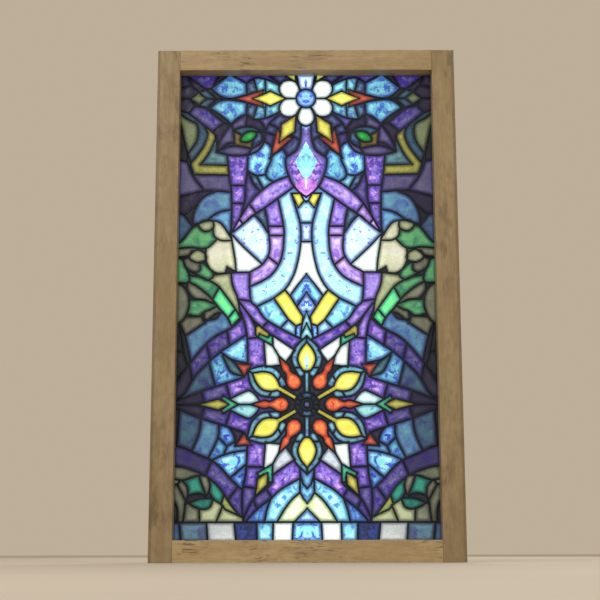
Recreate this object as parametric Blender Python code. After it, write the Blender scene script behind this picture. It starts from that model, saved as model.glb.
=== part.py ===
"""Leaded stained glass panel in a wooden frame, made to hang on a wall.

The frame is four members with stub tenons, and a rebate at the back takes the
glass panel and four glazing beads. The panel is one net of lead cames. Its
field panes are fused with it, and the panes of the flowers lie loose in its
grooves, as cut glass does. Only the left half of the picture is drawn, as a
glazier's cartoon, and the other half is its mirror image.

World frame: metres, +Z up, the front faces -Y, the back lies on y = 0, and
the origin is at the middle of the top rail's back.
"""
import bmesh
import bpy
from math import cos, hypot, radians, sin
from mathutils import Vector
from mathutils.geometry import delaunay_2d_cdt

# Driving sizes, in metres
WIDTH = 0.600
HEIGHT = 1.020
DEPTH = 0.052
STILE_WIDTH = 0.045
RAIL_WIDTH = 0.042
CAME_SET_BACK = 0.0325
CAME_DEPTH = 0.006
CAME_FACE = 0.0055
CAME_HEART = 0.0014
GLASS_THICKNESS = 0.003
REBATE_WIDTH = 0.008

# Fits
GAP = 0.0003
GLASS_PLAY = 0.0003
PANEL_PLAY = 0.0008
TENON_LENGTH = 0.024
TENON_THICKNESS = 0.010
TENON_MARGIN = 0.008

# The sizes that the cartoon was drawn at, in millimetres: x is the distance
# from the panel's axis and z the height above the frame's bottom
DRAWN_HALF_SIGHT = 255.0
DRAWN_SIGHT_BOTTOM = 42.0
DRAWN_SIGHT_TOP = 978.0
CARTOON_OVERLAP = 3.0
HALF_CARTOON = DRAWN_HALF_SIGHT + CARTOON_OVERLAP
CARTOON_BOTTOM = DRAWN_SIGHT_BOTTOM - CARTOON_OVERLAP
CARTOON_TOP = DRAWN_SIGHT_TOP + CARTOON_OVERLAP
DAISY = (0.0, 929.5)
ROSETTE = (0.0, 302.0)

# How the cartoon's lines are joined into panes, in the cartoon's millimetres
JOIN_REACH = 6.0
JOIN_OVERRUN = 0.8
SAME_PLACE = 0.9
STRAIGHTNESS = 2.6
FINE_STRAIGHTNESS = 0.8
TRACE = 0.02
LONGEST_MITRE = 2.0
SMALLEST_FIELD_PANE = 700.0

# Places worked out from the sizes above
ORIGIN_HEIGHT = HEIGHT - (RAIL_WIDTH - REBATE_WIDTH) / 2
FRONT = -DEPTH
CAME_FRONT = FRONT + CAME_SET_BACK
CAME_BACK = CAME_FRONT + CAME_DEPTH
GLASS_MIDDLE = (CAME_FRONT + CAME_BACK) / 2
LIP_BACK = CAME_FRONT - GAP
HALF_SIGHT = WIDTH / 2 - STILE_WIDTH
SIGHT_BOTTOM = RAIL_WIDTH
SIGHT_TOP = HEIGHT - RAIL_WIDTH
SCALE_X = HALF_SIGHT / DRAWN_HALF_SIGHT
SCALE_Z = (SIGHT_TOP - SIGHT_BOTTOM) / (DRAWN_SIGHT_TOP - DRAWN_SIGHT_BOTTOM)

# Colours: red, green, blue, then roughness and metallic
OAK = ((0.36, 0.25, 0.14), 0.70, 0.0)
BEAD_WOOD = ((0.30, 0.20, 0.11), 0.72, 0.0)
LEAD = ((0.035, 0.036, 0.040), 0.55, 0.7)
GLASSES = {
    "pool": (0.05, 0.25, 0.75),
    "milk": (0.85, 0.88, 0.84),
    "sun": (0.95, 0.72, 0.05),
    "flame": (0.80, 0.12, 0.03),
    "mottle": (0.08, 0.28, 0.62),
    "cyan": (0.15, 0.68, 0.80),
    "rose": (0.75, 0.25, 0.62),
    "leaf": (0.05, 0.45, 0.15),
    "violet": (0.26, 0.16, 0.62),
}
GLASS_ROUGHNESS = 0.12


class Cartoon:
    """The lead lines of one half, and the places of the panes that have names."""

    def __init__(self):
        self.leads = []
        self.named = []

    def lead(self, *points):
        self.leads.append(list(points))

    def loop(self, *points):
        self.leads.append(list(points) + [points[0]])

    def pane(self, name, colour, place):
        self.named.append((name, colour, place))

    def band(self, one, other, cuts):
        """A ribbon between two edges, cut across at shares of its length."""
        self.leads.extend([list(one), list(other)])
        for share in cuts:
            self.leads.append([along(one, share), along(other, share)])


def along(points, share):
    """The place a share of the way along a line of points."""
    lengths = [hypot(b[0] - a[0], b[1] - a[1]) for a, b in zip(points, points[1:])]
    left = share * sum(lengths)
    for (a, b), length in zip(zip(points, points[1:]), lengths):
        if left <= length:
            t = left / length
            return (a[0] + (b[0] - a[0]) * t, a[1] + (b[1] - a[1]) * t)
        left -= length
    return points[-1]


def turned(centre, angle):
    """Maps (outward, sideways) from a centre at an angle onto the cartoon."""
    c, s = cos(radians(angle)), sin(radians(angle))
    return lambda u, v: (centre[0] + u * c - v * s, centre[1] + u * s + v * c)


def half_ring(centre, radius, step):
    """The half of a circle that lies on the drawn side of the axis."""
    return [(radius * cos(radians(a)), centre[1] + radius * sin(radians(a)))
            for a in range(-90, 91, step)]


def drawn_side(points):
    """The points of a figure on the axis that lie on the drawn half."""
    return [(max(x, 0.0), z) for x, z in points if x > -1e-6]


def draw_daisy(c):
    """A disc with six round petals, yellow kites between them and red chevrons."""
    c.lead(*half_ring(DAISY, 19.5, 30))
    c.pane("daisy_disc", "pool", DAISY)
    round_petal = ((35, 20), (50, 17), (59, 0), (50, -17), (35, -20))
    for angle in (-90, -30, 30, 90):
        p = turned(DAISY, angle)
        c.lead(*drawn_side([p(u, v) for u, v in round_petal]))
        c.pane("daisy_petal", "milk", p(40, 0))
    for angle in (-60, 0, 60):
        p = turned(DAISY, angle)
        c.lead(p(19.5, 0), p(40, 0))
        c.loop(p(40, 0), p(73, 16), p(108, 0), p(73, -16))
        if angle == 60:
            c.lead(p(51, -26), p(84, -42), p(122, -33))
            continue
        c.pane("daisy_kite", "sun", p(73, 0))
        c.lead(p(89, 8.7), p(87, 18.5), p(147, 0), p(87, -18.5), p(89, -8.7))
        c.pane("daisy_chevron", "flame", p(122, 0))
        c.lead(p(51, 26), p(64, 33), p(84, 40), p(122, 31))
        if angle == 0:
            c.lead(p(51, -26), p(64, -33), p(84, -40), p(122, -31))
            c.lead(p(122, 31), p(121, 8))
            c.lead(p(122, -31), p(121, -8))
        else:
            c.lead(p(99, -14.5), p(104, -32))


def draw_big_petals(c):
    """The two blue petals beside the daisy, and the moss lozenge beyond them."""
    c.lead((121, 937), (152, 930), (172, 933), (194, 951), (156, 982), (122, 962))
    c.lead((121, 921), (160, 927), (180, 923), (196, 909), (152, 875), (122, 896))
    c.pane("blue_petal", "mottle", (155, 955))
    c.pane("blue_petal", "mottle", (155, 905))
    c.loop((203, 929.5), (219, 943), (237, 929.5), (219, 916))
    c.lead((219, 943), (205, 950), (183, 929.5), (203, 909), (219, 916))
    c.lead((147, 929.5), (203, 929.5))
    c.lead((194, 951), (205, 950), (240, 981))
    c.lead((196, 909), (203, 909), (226, 914), (237, 929.5), (258, 929.5))
    c.lead((226, 914), (240, 899), (191, 859), (168, 878), (196, 909))
    c.lead((258, 905), (240, 899))


def draw_vase(c):
    """The lilac vase on the axis, with a cyan drop and a rose base in it."""
    c.lead((11, 872), (9, 855), (24, 822), (40, 806), (43, 788), (27, 742), (12, 727),
           (0, 721))
    c.lead((0, 846), (24, 799), (9, 768), (0, 764))
    c.pane("vase_drop", "cyan", (0, 800))
    c.pane("vase_shoulders", "violet", (0, 856))
    c.lead((9, 768), (29, 746))
    c.pane("vase_base", "rose", (0, 745))


def draw_jewel(c):
    """The green almond in its violet cartouche."""
    p = turned((117, 848), 211)
    c.loop(p(17, 0), p(8, 9.5), p(-8, 10), p(-17, 0), p(-8, -9.5), p(8, -10))
    c.pane("green_almond", "leaf", (117, 848))
    c.lead((148, 862), (128, 869), (108, 868), (92, 858), (95, 832), (110, 823), (145, 834))
    c.lead((132, 852), (148, 862), (145, 834), (182, 816))
    c.lead((105, 838), (95, 832))
    c.lead((182, 816), (172, 845), (152, 875), (122, 896.5))
    c.lead((148, 862), (152, 875))
    c.lead((92, 858), (82, 862))
    c.lead((182, 816), (150, 808), (118, 809), (98, 818), (84, 837))
    c.lead((168, 878), (152, 875))


def draw_left_field(c):
    """The moss leaf at the edge, and the bands that bend round it."""
    c.lead((258, 903), (224, 876), (219, 855), (223, 838), (240, 812), (233, 793), (226, 768),
           (206, 735))
    c.lead((258, 890), (247, 845), (240, 812))
    c.lead((209, 874), (200, 855), (206, 832), (233, 793))
    c.lead((191, 859), (184, 850), (186, 838), (214, 789), (162, 787))
    c.lead((184, 850), (182, 816))
    c.lead((226, 768), (157, 767))
    c.lead((206, 735), (258, 720))
    c.lead((206, 735), (151, 732))


def draw_column(c):
    """The violet column under the cartouche, and the pale fans beside it."""
    c.lead((160, 808), (156, 770), (150, 700), (151, 645))
    c.lead((118, 809), (119, 775), (124, 715), (131, 681))
    c.lead((152, 730), (124, 720))
    c.lead((84, 837), (71, 826), (71, 800), (82, 768), (100, 766), (119, 777))
    c.lead((71, 809), (40, 806))
    c.lead((82, 768), (66, 752))
    c.lead((100, 768), (92, 733))
    c.band(((36, 764), (66, 752), (112, 711), (131, 681), (151, 645)),
           ((27, 740), (60, 716), (84, 698), (128, 664), (151, 645)), (0.45,))


def draw_upper_garden(c):
    """Rounded green and cream shapes at the side, with pale panes beside them."""
    c.lead((228, 660), (225, 690), (208, 720), (180, 734))
    c.lead((228, 664), (203, 671), (178, 688), (151, 695))
    c.lead((258, 690), (228, 662))
    c.lead((203, 671), (186, 655), (184, 640), (170, 631), (151, 631))
    c.lead((216, 662), (228, 658), (246, 634), (258, 620))
    c.lead((258, 612), (230, 617), (200, 615), (178, 634))
    c.lead((200, 615), (201, 594), (192, 573), (162, 564), (140, 565), (113, 566))
    c.lead((192, 573), (233, 560), (258, 570))
    c.lead((151, 645), (147, 620), (140, 565), (140, 535), (131, 474))
    c.lead((151, 645), (125, 617), (88, 582))
    c.lead((118, 674), (105, 682), (90, 667), (76, 645))
    c.lead((226, 614), (238, 590), (258, 596))


def draw_green_band(c):
    """The green band that leans against the column's foot, and the stones by it."""
    c.band(((233, 560), (207, 555), (160, 518), (131, 474)),
           ((233, 546), (215, 536), (172, 492), (148, 457)), (0.47, 0.86))
    c.lead((131, 474), (148, 457))
    c.lead((236, 546), (232, 505), (240, 475), (258, 458))
    c.lead((258, 540), (236, 546))
    c.lead((234, 508), (205, 510), (186, 502))
    c.lead((236, 481), (215, 477), (190, 491), (176, 499))
    c.lead((250, 464), (239, 438), (204, 462), (180, 482), (166, 484))
    c.lead((239, 438), (226, 386))
    c.lead((258, 410), (232, 410))


def draw_middle(c):
    """The bracket of violet and pale bands about the axis, and the axis panes."""
    inner = ((84, 700), (76, 655), (73, 615), (90, 580), (113, 566))
    between = ((57, 718), (45, 655), (47, 610), (74, 557), (113, 536))
    outer = ((30, 729), (12, 665), (15, 598), (34, 543), (43, 530))
    for line in (inner, between, outer):
        c.lead(*line)
    c.lead((76, 650), (45, 650))
    c.lead((77, 598), (56, 584))
    c.pane("bracket_bend", "violet", (60, 622))
    c.lead((113, 566), (113, 536))
    c.lead((12, 727), (30, 729), (18, 700), (4, 713), (12, 727))
    c.lead((12, 667), (0, 667))
    c.lead((10, 628), (0, 628))
    c.lead((0, 562), (18, 539), (33, 518))
    c.lead((0, 525), (13, 506), (19, 496))
    c.lead((0, 486), (9, 462))
    c.loop((65, 513), (43, 530), (33, 518), (7, 476), (9, 462), (21, 457), (36, 470))
    c.lead((99, 496), (65, 513))
    c.lead((52, 453), (36, 470))
    c.lead((9, 462), (12, 433))


def draw_lower_bands(c):
    """The violet bands that run from the axis to the columns and the edge."""
    c.lead((137, 511), (110, 507))
    c.lead((113, 536), (110, 507), (84, 474), (68, 462), (36, 444), (9, 431))
    c.lead((137, 511), (103, 467), (84, 450), (64, 436))
    c.lead((131, 490), (122, 462), (116, 400), (116, 379))
    c.lead((101, 463), (95, 435), (117, 432))
    c.band(((258, 338), (241, 368), (192, 428), (126, 474)),
           ((258, 308), (240, 322), (215, 363), (170, 405), (118, 440)), (0.30, 0.56, 0.80))


def draw_petal(c, angle):
    """A yellow petal of the rosette, with the pale halo about it."""
    p = turned(ROSETTE, angle)
    sides = {90: (-1,), -90: (1,)}.get(angle, (1, -1))
    for side in sides:
        c.lead(p(64, 0), p(74, 13 * side), p(90, 18 * side), p(107, 12.5 * side), p(123, 0))
        c.lead(p(50, 14 * side), p(66, 22 * side), p(88, 30 * side), p(112, 23 * side), p(137, 0))
        c.lead(p(52, 14 * side), p(57, 0))
    c.lead(p(24, 0), p(64, 0))
    c.lead(p(123, 0), p(137, 0))
    c.pane("rosette_yellow_petal", "sun", p(90, 0))


def draw_ray(c, angle):
    """A red bud with its white petals, green chevron and gold lozenge."""
    p = turned(ROSETTE, angle)
    for side in (1, -1):
        bud = ((34, 0), (44, 13), (60, 12), (76, 6), (110, 0))
        c.lead(*[p(u, v * side) for u, v in bud])
        arm = 18 if angle == 60 and side == 1 else 30
        spread = 17 * arm / 30
        c.lead(p(133, 0), p(133 + arm, spread * side), p(137 + arm, (spread - 6) * side), p(153, 0))
        if angle == 0:
            c.lead(p(90, 5 * side), p(99, 17 * side), p(112, 27 * side), p(128, 22 * side),
                   p(151, 10 * side))
            c.pane("rosette_white_petal", "milk", p(118, 12 * side))
        else:
            c.lead(p(151, 10.2 * side), p(104, 33 * side))
        if angle != 60:
            c.lead(p(160, 5.5 * side), p(173, 11 * side), p(205, 0))
    c.lead(p(110, 0), p(133, 0))
    c.pane("rosette_red_bud", "flame", p(54, 0))


def draw_rosette(c):
    """The six-rayed rosette and the panes between its rays and the edge."""
    c.lead(*half_ring(ROSETTE, 24.0, 30))
    for angle in (-60, 0, 60):
        draw_ray(c, angle)
    for angle in (-90, -30, 30, 90):
        draw_petal(c, angle)
    for side in (1, -1):
        p = turned(ROSETTE, 30 * side)
        c.loop(p(133, 14), p(133, -14), p(161, 0))
        level = ROSETTE[1]
        c.lead((258, level + 4 * side), (205, level + 27 * side), (158, level + 42 * side),
               (122, level + 54 * side))
        c.lead((205, level + 27 * side), (200, level + 4 * side))
        c.lead((158, level + 42 * side), (150, level + 13 * side))
    c.lead((203, 302), (258, 302))


def draw_fans(c):
    """The blue fans above and below the rosette's side ray."""
    c.lead((172, 408), (150, 392), (116, 384))
    c.lead((193, 388), (178, 336))
    c.lead((166, 400), (146, 364), (126, 360))
    c.lead((250, 298), (252, 222))
    c.lead((206, 275), (207, 258), (224, 211))
    c.lead((171, 265), (172, 240), (192, 197))
    c.lead((153, 259), (139, 222))
    c.lead((172, 238), (155, 221), (139, 230))
    c.lead((155, 221), (161, 204))
    c.lead((184, 194), (165, 203), (116, 213))
    c.lead((117, 187), (145, 160))


def draw_lower_arc(c):
    """The violet arc at the lower side, and the columns that meet it."""
    c.lead((258, 224), (240, 219), (184, 194), (148, 159), (126, 138))
    c.lead((258, 183), (218, 174), (187, 158), (156, 122), (126, 84))
    c.lead((184, 194), (196, 165))
    c.lead((133, 145), (152, 118))
    c.lead((116, 226), (117, 190), (125, 140), (123, 76))
    c.lead((117, 182), (84, 181))
    c.lead((66, 152), (78, 140), (112, 106), (123, 76))
    c.lead((14, 178), (14, 132))
    c.lead((14, 159), (52, 137), (96, 101), (118, 76))
    c.lead((78, 140), (68, 123))


def draw_foot(c):
    """The pale panes at the axis's foot and the strip along the bottom."""
    c.lead((258, 76), (0, 76))
    c.lead((69, 121), (82, 76))
    c.lead((14, 132), (45, 98), (58, 76))
    c.lead((14, 132), (0, 112))
    c.lead((0, 102), (25, 76))
    for top, foot in ((245, 241), (193, 190), (140, 136), (97, 96), (65, 66), (27, 29)):
        c.lead((top, 76), (foot, 39))


def draw_lower_garden(c):
    """Small leaves and stones under the violet arc."""
    c.lead((258, 160), (240, 156), (197, 165))
    c.lead((243, 157), (229, 127), (194, 127), (208, 164))
    c.lead((187, 158), (194, 127), (180, 121), (165, 110), (184, 155))
    c.lead((165, 110), (130, 84))
    c.lead((229, 112), (205, 121), (181, 121))
    c.lead((229, 112), (205, 101), (180, 120))
    c.lead((229, 127), (235, 100), (238, 76))
    c.lead((229, 112), (234, 110))
    c.lead((207, 102), (206, 76))
    c.lead((162, 107), (175, 76))
    c.lead((258, 128), (250, 105), (248, 76))


def draw_cartoon():
    """The whole half of the picture."""
    c = Cartoon()
    for draw in (draw_daisy, draw_big_petals, draw_vase, draw_jewel, draw_left_field, draw_column,
                 draw_upper_garden, draw_green_band, draw_middle, draw_lower_bands, draw_rosette,
                 draw_fans, draw_lower_arc, draw_foot, draw_lower_garden):
        draw(c)
    return c


def nearest_on(place, a, b):
    """The point of the stretch from a to b that is nearest to a place."""
    run, rise = b[0] - a[0], b[1] - a[1]
    square = run * run + rise * rise
    t = 0.0 if square == 0 else ((place[0] - a[0]) * run + (place[1] - a[1]) * rise) / square
    t = min(1.0, max(0.0, t))
    return (a[0] + run * t, a[1] + rise * t)


def apart(a, b):
    return hypot(a[0] - b[0], a[1] - b[1])


def join_ends(leads):
    """Runs the open ends of the lines on to the lines that they stop at."""
    lines = [list(line) for line in leads]
    ends = []
    for number, line in enumerate(lines):
        if apart(line[0], line[-1]) < 1e-6:
            continue
        for end in (0, -1):
            if abs(line[end][0]) < JOIN_OVERRUN:
                line[end] = (0.0, line[end][1])
            ends.append((number, end))
    loose = []
    for number, end in ends:
        line = lines[number]
        place = line[end]
        on_edge = place[0] >= HALF_CARTOON or not CARTOON_BOTTOM < place[1] < CARTOON_TOP
        if place[0] == 0.0 or on_edge:
            continue
        mates = [(apart(lines[j][k], place), lines[j][k], j) for j, k in ends
                 if j != number and apart(lines[j][k], place) < SAME_PLACE]
        skip = {number} | {mate[2] for mate in mates}
        meets = [nearest_on(place, a, b) for j, other in enumerate(lines) if j not in skip
                 for a, b in zip(other, other[1:])]
        meet = min(meets, key=lambda m: apart(m, place))
        before = line[1] if end == 0 else line[-2]
        if apart(meet, place) < JOIN_REACH:
            reach = apart(meet, before)
            more = (reach + JOIN_OVERRUN) / reach
            line[end] = tuple(q + (m - q) * more for q, m in zip(before, meet))
        elif mates:
            line[end] = min(mates)[1]
        else:
            loose.append("%.0f, %.0f" % place)
    if loose:
        raise ValueError("lead lines end loose at " + "; ".join(loose))
    return lines


def inside(place, loop):
    """Whether a place lies inside a closed outline."""
    x, z = place
    odd = False
    for (ax, az), (bx, bz) in zip(loop, loop[1:] + loop[:1]):
        if (az > z) != (bz > z) and x < (bx - ax) * (z - az) / (bz - az) + ax:
            odd = not odd
    return odd


def area(loop):
    """The area of a closed outline, positive when it runs counterclockwise."""
    return sum(a[0] * b[1] - b[0] * a[1] for a, b in zip(loop, loop[1:] + loop[:1])) / 2


def chained(edges):
    """The longest closed outline that a cell's directed border edges make."""
    after = {}
    for a, b in edges:
        after.setdefault(a, []).append(b)
    loops = []
    while after:
        first = next(iter(after))
        loop = [first]
        spot = after[first].pop()
        while spot != first:
            loop.append(spot)
            spot = after[spot].pop()
        loops.append(loop)
        after = {a: ahead for a, ahead in after.items() if ahead}
    return max(loops, key=len)


def cut_cells(leads):
    """The outlines of all the cells between the lead lines, both halves."""
    corners = [(-HALF_CARTOON, CARTOON_BOTTOM), (HALF_CARTOON, CARTOON_BOTTOM),
               (HALF_CARTOON, CARTOON_TOP), (-HALF_CARTOON, CARTOON_TOP)]
    lines = [corners + corners[:1]]
    for line in join_ends(leads):
        lines.append(line)
        lines.append([(-x, z) for x, z in line])
    places = []
    edges = []
    for line in lines:
        start = len(places)
        places.extend(Vector(p) for p in line)
        edges.extend((start + i, start + i + 1) for i in range(len(line) - 1))
    verts, links, faces, _, kept, _ = delaunay_2d_cdt(places, edges, [], 0, 0.02, True)
    walls = {frozenset(link) for link, source in zip(links, kept) if source}
    return [loop for (x, z), loop in regions(verts, faces, walls)
            if abs(x) < HALF_CARTOON and CARTOON_BOTTOM < z < CARTOON_TOP]


def straightened(loop, tolerance):
    """The outline without the corners that lie within a tolerance of its run."""
    def thin(points):
        a, b = points[0], points[-1]
        gaps = [apart(p, nearest_on(p, a, b)) for p in points[1:-1]]
        if not gaps or max(gaps) < tolerance:
            return [a]
        split = gaps.index(max(gaps)) + 1
        return thin(points[:split + 1]) + thin(points[split:])
    first = min(range(len(loop)), key=lambda i: loop[i])
    loop = loop[first:] + loop[:first]
    far = max(range(len(loop)), key=lambda i: apart(loop[i], loop[0]))
    return thin(loop[:far + 1]) + thin(loop[far:] + loop[:1])


def offset_corners(loop, distance):
    """The corners of an outline moved inwards, some of which may cross over."""
    ways = []
    for a, b in zip(loop, loop[1:] + loop[:1]):
        length = apart(a, b)
        ways.append(((b[0] - a[0]) / length, (b[1] - a[1]) / length))
    corners = []
    for (x, z), (vx, vz), (wx, wz) in zip(loop, ways[-1:] + ways[:-1], ways):
        turn = vx * wz - vz * wx
        share = distance / (1 + vx * wx + vz * wz + 1e-9)
        reach = hypot((vz + wz) * share, (vx + wx) * share)
        if turn > 0 or reach < LONGEST_MITRE * distance:
            corners.append((x - (vz + wz) * share, z + (vx + wx) * share))
        else:
            corners.append((x + (vx - vz) * distance, z + (vz + vx) * distance))
            corners.append((x - (wx + wz) * distance, z + (wx - wz) * distance))
    return corners


def regions(verts, faces, walls):
    """Groups of triangles that no wall parts, each with the outline around it."""
    beside = {}
    for number, face in enumerate(faces):
        for a, b in zip(face, face[1:] + face[:1]):
            beside.setdefault(frozenset((a, b)), []).append(number)
    seen = set()
    for start in range(len(faces)):
        if start in seen:
            continue
        seen.add(start)
        group = [start]
        for number in group:
            face = faces[number]
            for a, b in zip(face, face[1:] + face[:1]):
                link = frozenset((a, b))
                for other in beside[link]:
                    if link not in walls and other not in seen:
                        seen.add(other)
                        group.append(other)
        members = set(group)
        border = []
        for number in group:
            face = faces[number]
            for a, b in zip(face, face[1:] + face[:1]):
                sharers = beside[frozenset((a, b))]
                if len(sharers) == 1 or not members.issuperset(sharers):
                    border.append((a, b))
        middle = sum((verts[v] for v in faces[start]), Vector((0, 0))) / 3
        loop = [tuple(verts[v]) for v in chained(border)]
        yield (middle.x, middle.y), loop if area(loop) > 0 else loop[::-1]


def inset(loop, distance):
    """The largest outline that stays a distance inside another one."""
    rim = [(x * 1000, z * 1000) for x, z in loop]
    clear = distance * 1000 * (1 - 1e-4)
    raw = offset_corners(rim, distance * 1000)
    edges = [(i, (i + 1) % len(raw)) for i in range(len(raw))]
    verts, _, faces, _, _, _ = delaunay_2d_cdt([Vector(p) for p in raw], edges, [], 0, 1e-4, True)
    kept = []
    for face in faces:
        middle = tuple(sum((verts[v] for v in face), Vector((0, 0))) / 3)
        away = min(apart(middle, nearest_on(middle, a, b)) for a, b in zip(rim, rim[1:] + rim[:1]))
        if away >= clear and inside(middle, rim):
            kept.append(face)
    best = max((outline for _, outline in regions(verts, kept, set())), key=area, default=[])
    return [(x / 1000, z / 1000) for x, z in straightened(best, TRACE)] if len(best) > 2 else []


def placed(loop):
    """A cartoon outline in the frame of the part, in metres."""
    return [(x * SCALE_X, (z - DRAWN_SIGHT_BOTTOM) * SCALE_Z + SIGHT_BOTTOM - ORIGIN_HEIGHT)
            for x, z in loop]


class Shell:
    """A closed body put together from level faces and the walls between them."""

    def __init__(self):
        self.verts = []
        self.faces = []

    def loop(self, points, y):
        start = len(self.verts)
        self.verts.extend((x, y, z) for x, z in points)
        return list(range(start, len(self.verts)))

    def wall(self, one, other):
        for i in range(len(one)):
            j = (i + 1) % len(one)
            self.faces.append((one[i], one[j], other[j], other[i]))

    def level(self, outer, holes=()):
        """A flat face inside one loop and outside the others."""
        flat = {v: (self.verts[v][0] * 1000, self.verts[v][2] * 1000)
                for ring in (outer, *holes) for v in ring}
        order = list(flat)
        number = {v: i for i, v in enumerate(order)}
        edges = [(number[a], number[b]) for ring in (outer, *holes)
                 for a, b in zip(ring, ring[1:] + ring[:1])]
        places = [Vector(flat[v]) for v in order]
        _, _, faces, sources, _, _ = delaunay_2d_cdt(places, edges, [], 0, 1e-5, True)
        rim = [flat[v] for v in outer]
        gaps = [[flat[v] for v in ring] for ring in holes]
        for face in faces:
            ids = [order[sources[v][0]] for v in face]
            x = sum(flat[v][0] for v in ids) / 3
            z = sum(flat[v][1] for v in ids) / 3
            if not inside((x, z), rim):
                continue
            if not any(inside((x, z), ring) for ring in gaps):
                self.faces.append(tuple(ids))


def material(name, colour, roughness, metallic):
    """A Principled material, made once for each colour."""
    made = bpy.data.materials.get(name)
    if made:
        return made
    made = bpy.data.materials.new(name)
    made.use_nodes = True
    shader = made.node_tree.nodes["Principled BSDF"]
    shader.inputs["Base Color"].default_value = (*colour, 1.0)
    shader.inputs["Roughness"].default_value = roughness
    shader.inputs["Metallic"].default_value = metallic
    made.diffuse_color = (*colour, 1.0)
    return made


def add_object(name, verts, faces, look):
    """A named object with one closed mesh, its faces turned outwards."""
    mesh = bpy.data.meshes.new(name)
    mesh.from_pydata(verts, [], faces)
    shape = bmesh.new()
    shape.from_mesh(mesh)
    bmesh.ops.recalc_face_normals(shape, faces=shape.faces)
    shape.to_mesh(mesh)
    shape.free()
    mesh.materials.append(look)
    item = bpy.data.objects.new(name, mesh)
    bpy.context.scene.collection.objects.link(item)
    return item


def prism(name, points, front, back, look):
    """A flat piece with one outline."""
    shell = Shell()
    one = shell.loop(points, front)
    other = shell.loop(points, back)
    shell.level(one)
    shell.level(other)
    shell.wall(one, other)
    return add_object(name, shell.verts, shell.faces, look)


def build_panel():
    """The came net with its fused field panes, and the loose panes of the figures."""
    cartoon = draw_cartoon()
    cells = cut_cells(cartoon.leads)
    owners = {}
    for name, colour, (x, z) in cartoon.named:
        for side in ((1, -1) if x > 1.0 else (1,)):
            place = (x * side + 0.01, z + 0.01)
            owner = next(i for i, cell in enumerate(cells) if inside(place, cell))
            owners[owner] = (name, colour)
    lip = (CAME_DEPTH - GLASS_THICKNESS) / 2 - GLASS_PLAY
    pocket = (CAME_DEPTH - GLASS_THICKNESS) / 2
    half_width = HALF_SIGHT + REBATE_WIDTH - PANEL_PLAY
    bottom = SIGHT_BOTTOM - REBATE_WIDTH + PANEL_PLAY - ORIGIN_HEIGHT
    top = SIGHT_TOP + REBATE_WIDTH - PANEL_PLAY - ORIGIN_HEIGHT
    rim = [(-half_width, bottom), (half_width, bottom), (half_width, top), (-half_width, top)]
    net = Shell()
    front_rim = net.loop(rim, CAME_FRONT)
    back_rim = net.loop(rim, CAME_BACK)
    net.wall(front_rim, back_rim)
    front_holes = []
    back_holes = []
    panes = []
    for number, cell in enumerate(cells):
        if number in owners:
            outline = straightened(cell, FINE_STRAIGHTNESS)
            edge = inset(placed(outline), CAME_FACE / 2)
            groove = inset(placed(outline), CAME_HEART / 2)
            front = net.loop(edge, CAME_FRONT)
            front_inner = net.loop(edge, CAME_FRONT + lip)
            front_groove = net.loop(groove, CAME_FRONT + lip)
            back_groove = net.loop(groove, CAME_BACK - lip)
            back_inner = net.loop(edge, CAME_BACK - lip)
            back = net.loop(edge, CAME_BACK)
            net.wall(front, front_inner)
            net.level(front_groove, (front_inner,))
            net.wall(front_groove, back_groove)
            net.level(back_groove, (back_inner,))
            net.wall(back_inner, back)
            front_holes.append(front)
            back_holes.append(back)
            panes.append((owners[number], inset(placed(outline), CAME_HEART / 2 + GLASS_PLAY)))
            continue
        if area(cell) < SMALLEST_FIELD_PANE:
            continue
        edge = inset(placed(straightened(cell, STRAIGHTNESS)), CAME_FACE / 2)
        if len(edge) < 3:
            continue
        front = net.loop(edge, CAME_FRONT)
        floor = net.loop(edge, CAME_FRONT + pocket)
        net.wall(front, floor)
        net.level(floor)
        front_holes.append(front)
    net.level(front_rim, front_holes)
    net.level(back_rim, back_holes)
    add_object("lead_cames_with_field_glass", net.verts, net.faces, material("lead", *LEAD))
    counts = {}
    totals = {}
    for (name, _), _ in panes:
        totals[name] = totals.get(name, 0) + 1
    half_glass = GLASS_THICKNESS / 2
    for (name, colour), outline in panes:
        counts[name] = counts.get(name, 0) + 1
        label = name if totals[name] == 1 else "%s_%d" % (name, counts[name])
        look = material(colour + "_glass", GLASSES[colour], GLASS_ROUGHNESS, 0.0)
        prism(label, outline, GLASS_MIDDLE - half_glass, GLASS_MIDDLE + half_glass, look)


def blocks(name, solid, cut, look):
    """A body of upright boxes, less other boxes, each given as (x, y, z) spans."""
    spans = solid + cut
    planes = [sorted({round(v, 7) for box in spans for v in box[axis]}) for axis in range(3)]
    middles = [[(a + b) / 2 for a, b in zip(run, run[1:])] for run in planes]

    def holds(boxes, place):
        return any(all(span[0] < p < span[1] for span, p in zip(box, place)) for box in boxes)

    filled = set()
    for i, x in enumerate(middles[0]):
        for j, y in enumerate(middles[1]):
            for k, z in enumerate(middles[2]):
                if holds(solid, (x, y, z)) and not holds(cut, (x, y, z)):
                    filled.add((i, j, k))
    verts = {}
    faces = []
    for cube in filled:
        for axis in range(3):
            for side in (0, 1):
                beyond = list(cube)
                beyond[axis] += 1 if side else -1
                if tuple(beyond) in filled:
                    continue
                u, v = (a for a in range(3) if a != axis)
                face = []
                for du, dv in ((0, 0), (1, 0), (1, 1), (0, 1)):
                    corner = list(cube)
                    corner[axis] += side
                    corner[u] += du
                    corner[v] += dv
                    face.append(verts.setdefault(tuple(corner), len(verts)))
                faces.append(face)
    points = [tuple(planes[axis][corner[axis]] for axis in range(3)) for corner in verts]
    item = add_object(name, points, faces, look)
    shape = bmesh.new()
    shape.from_mesh(item.data)
    bmesh.ops.dissolve_limit(shape, angle_limit=radians(1.0), verts=shape.verts, edges=shape.edges)
    bmesh.ops.triangulate(shape, faces=shape.faces)
    shape.to_mesh(item.data)
    shape.free()
    return item


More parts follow.
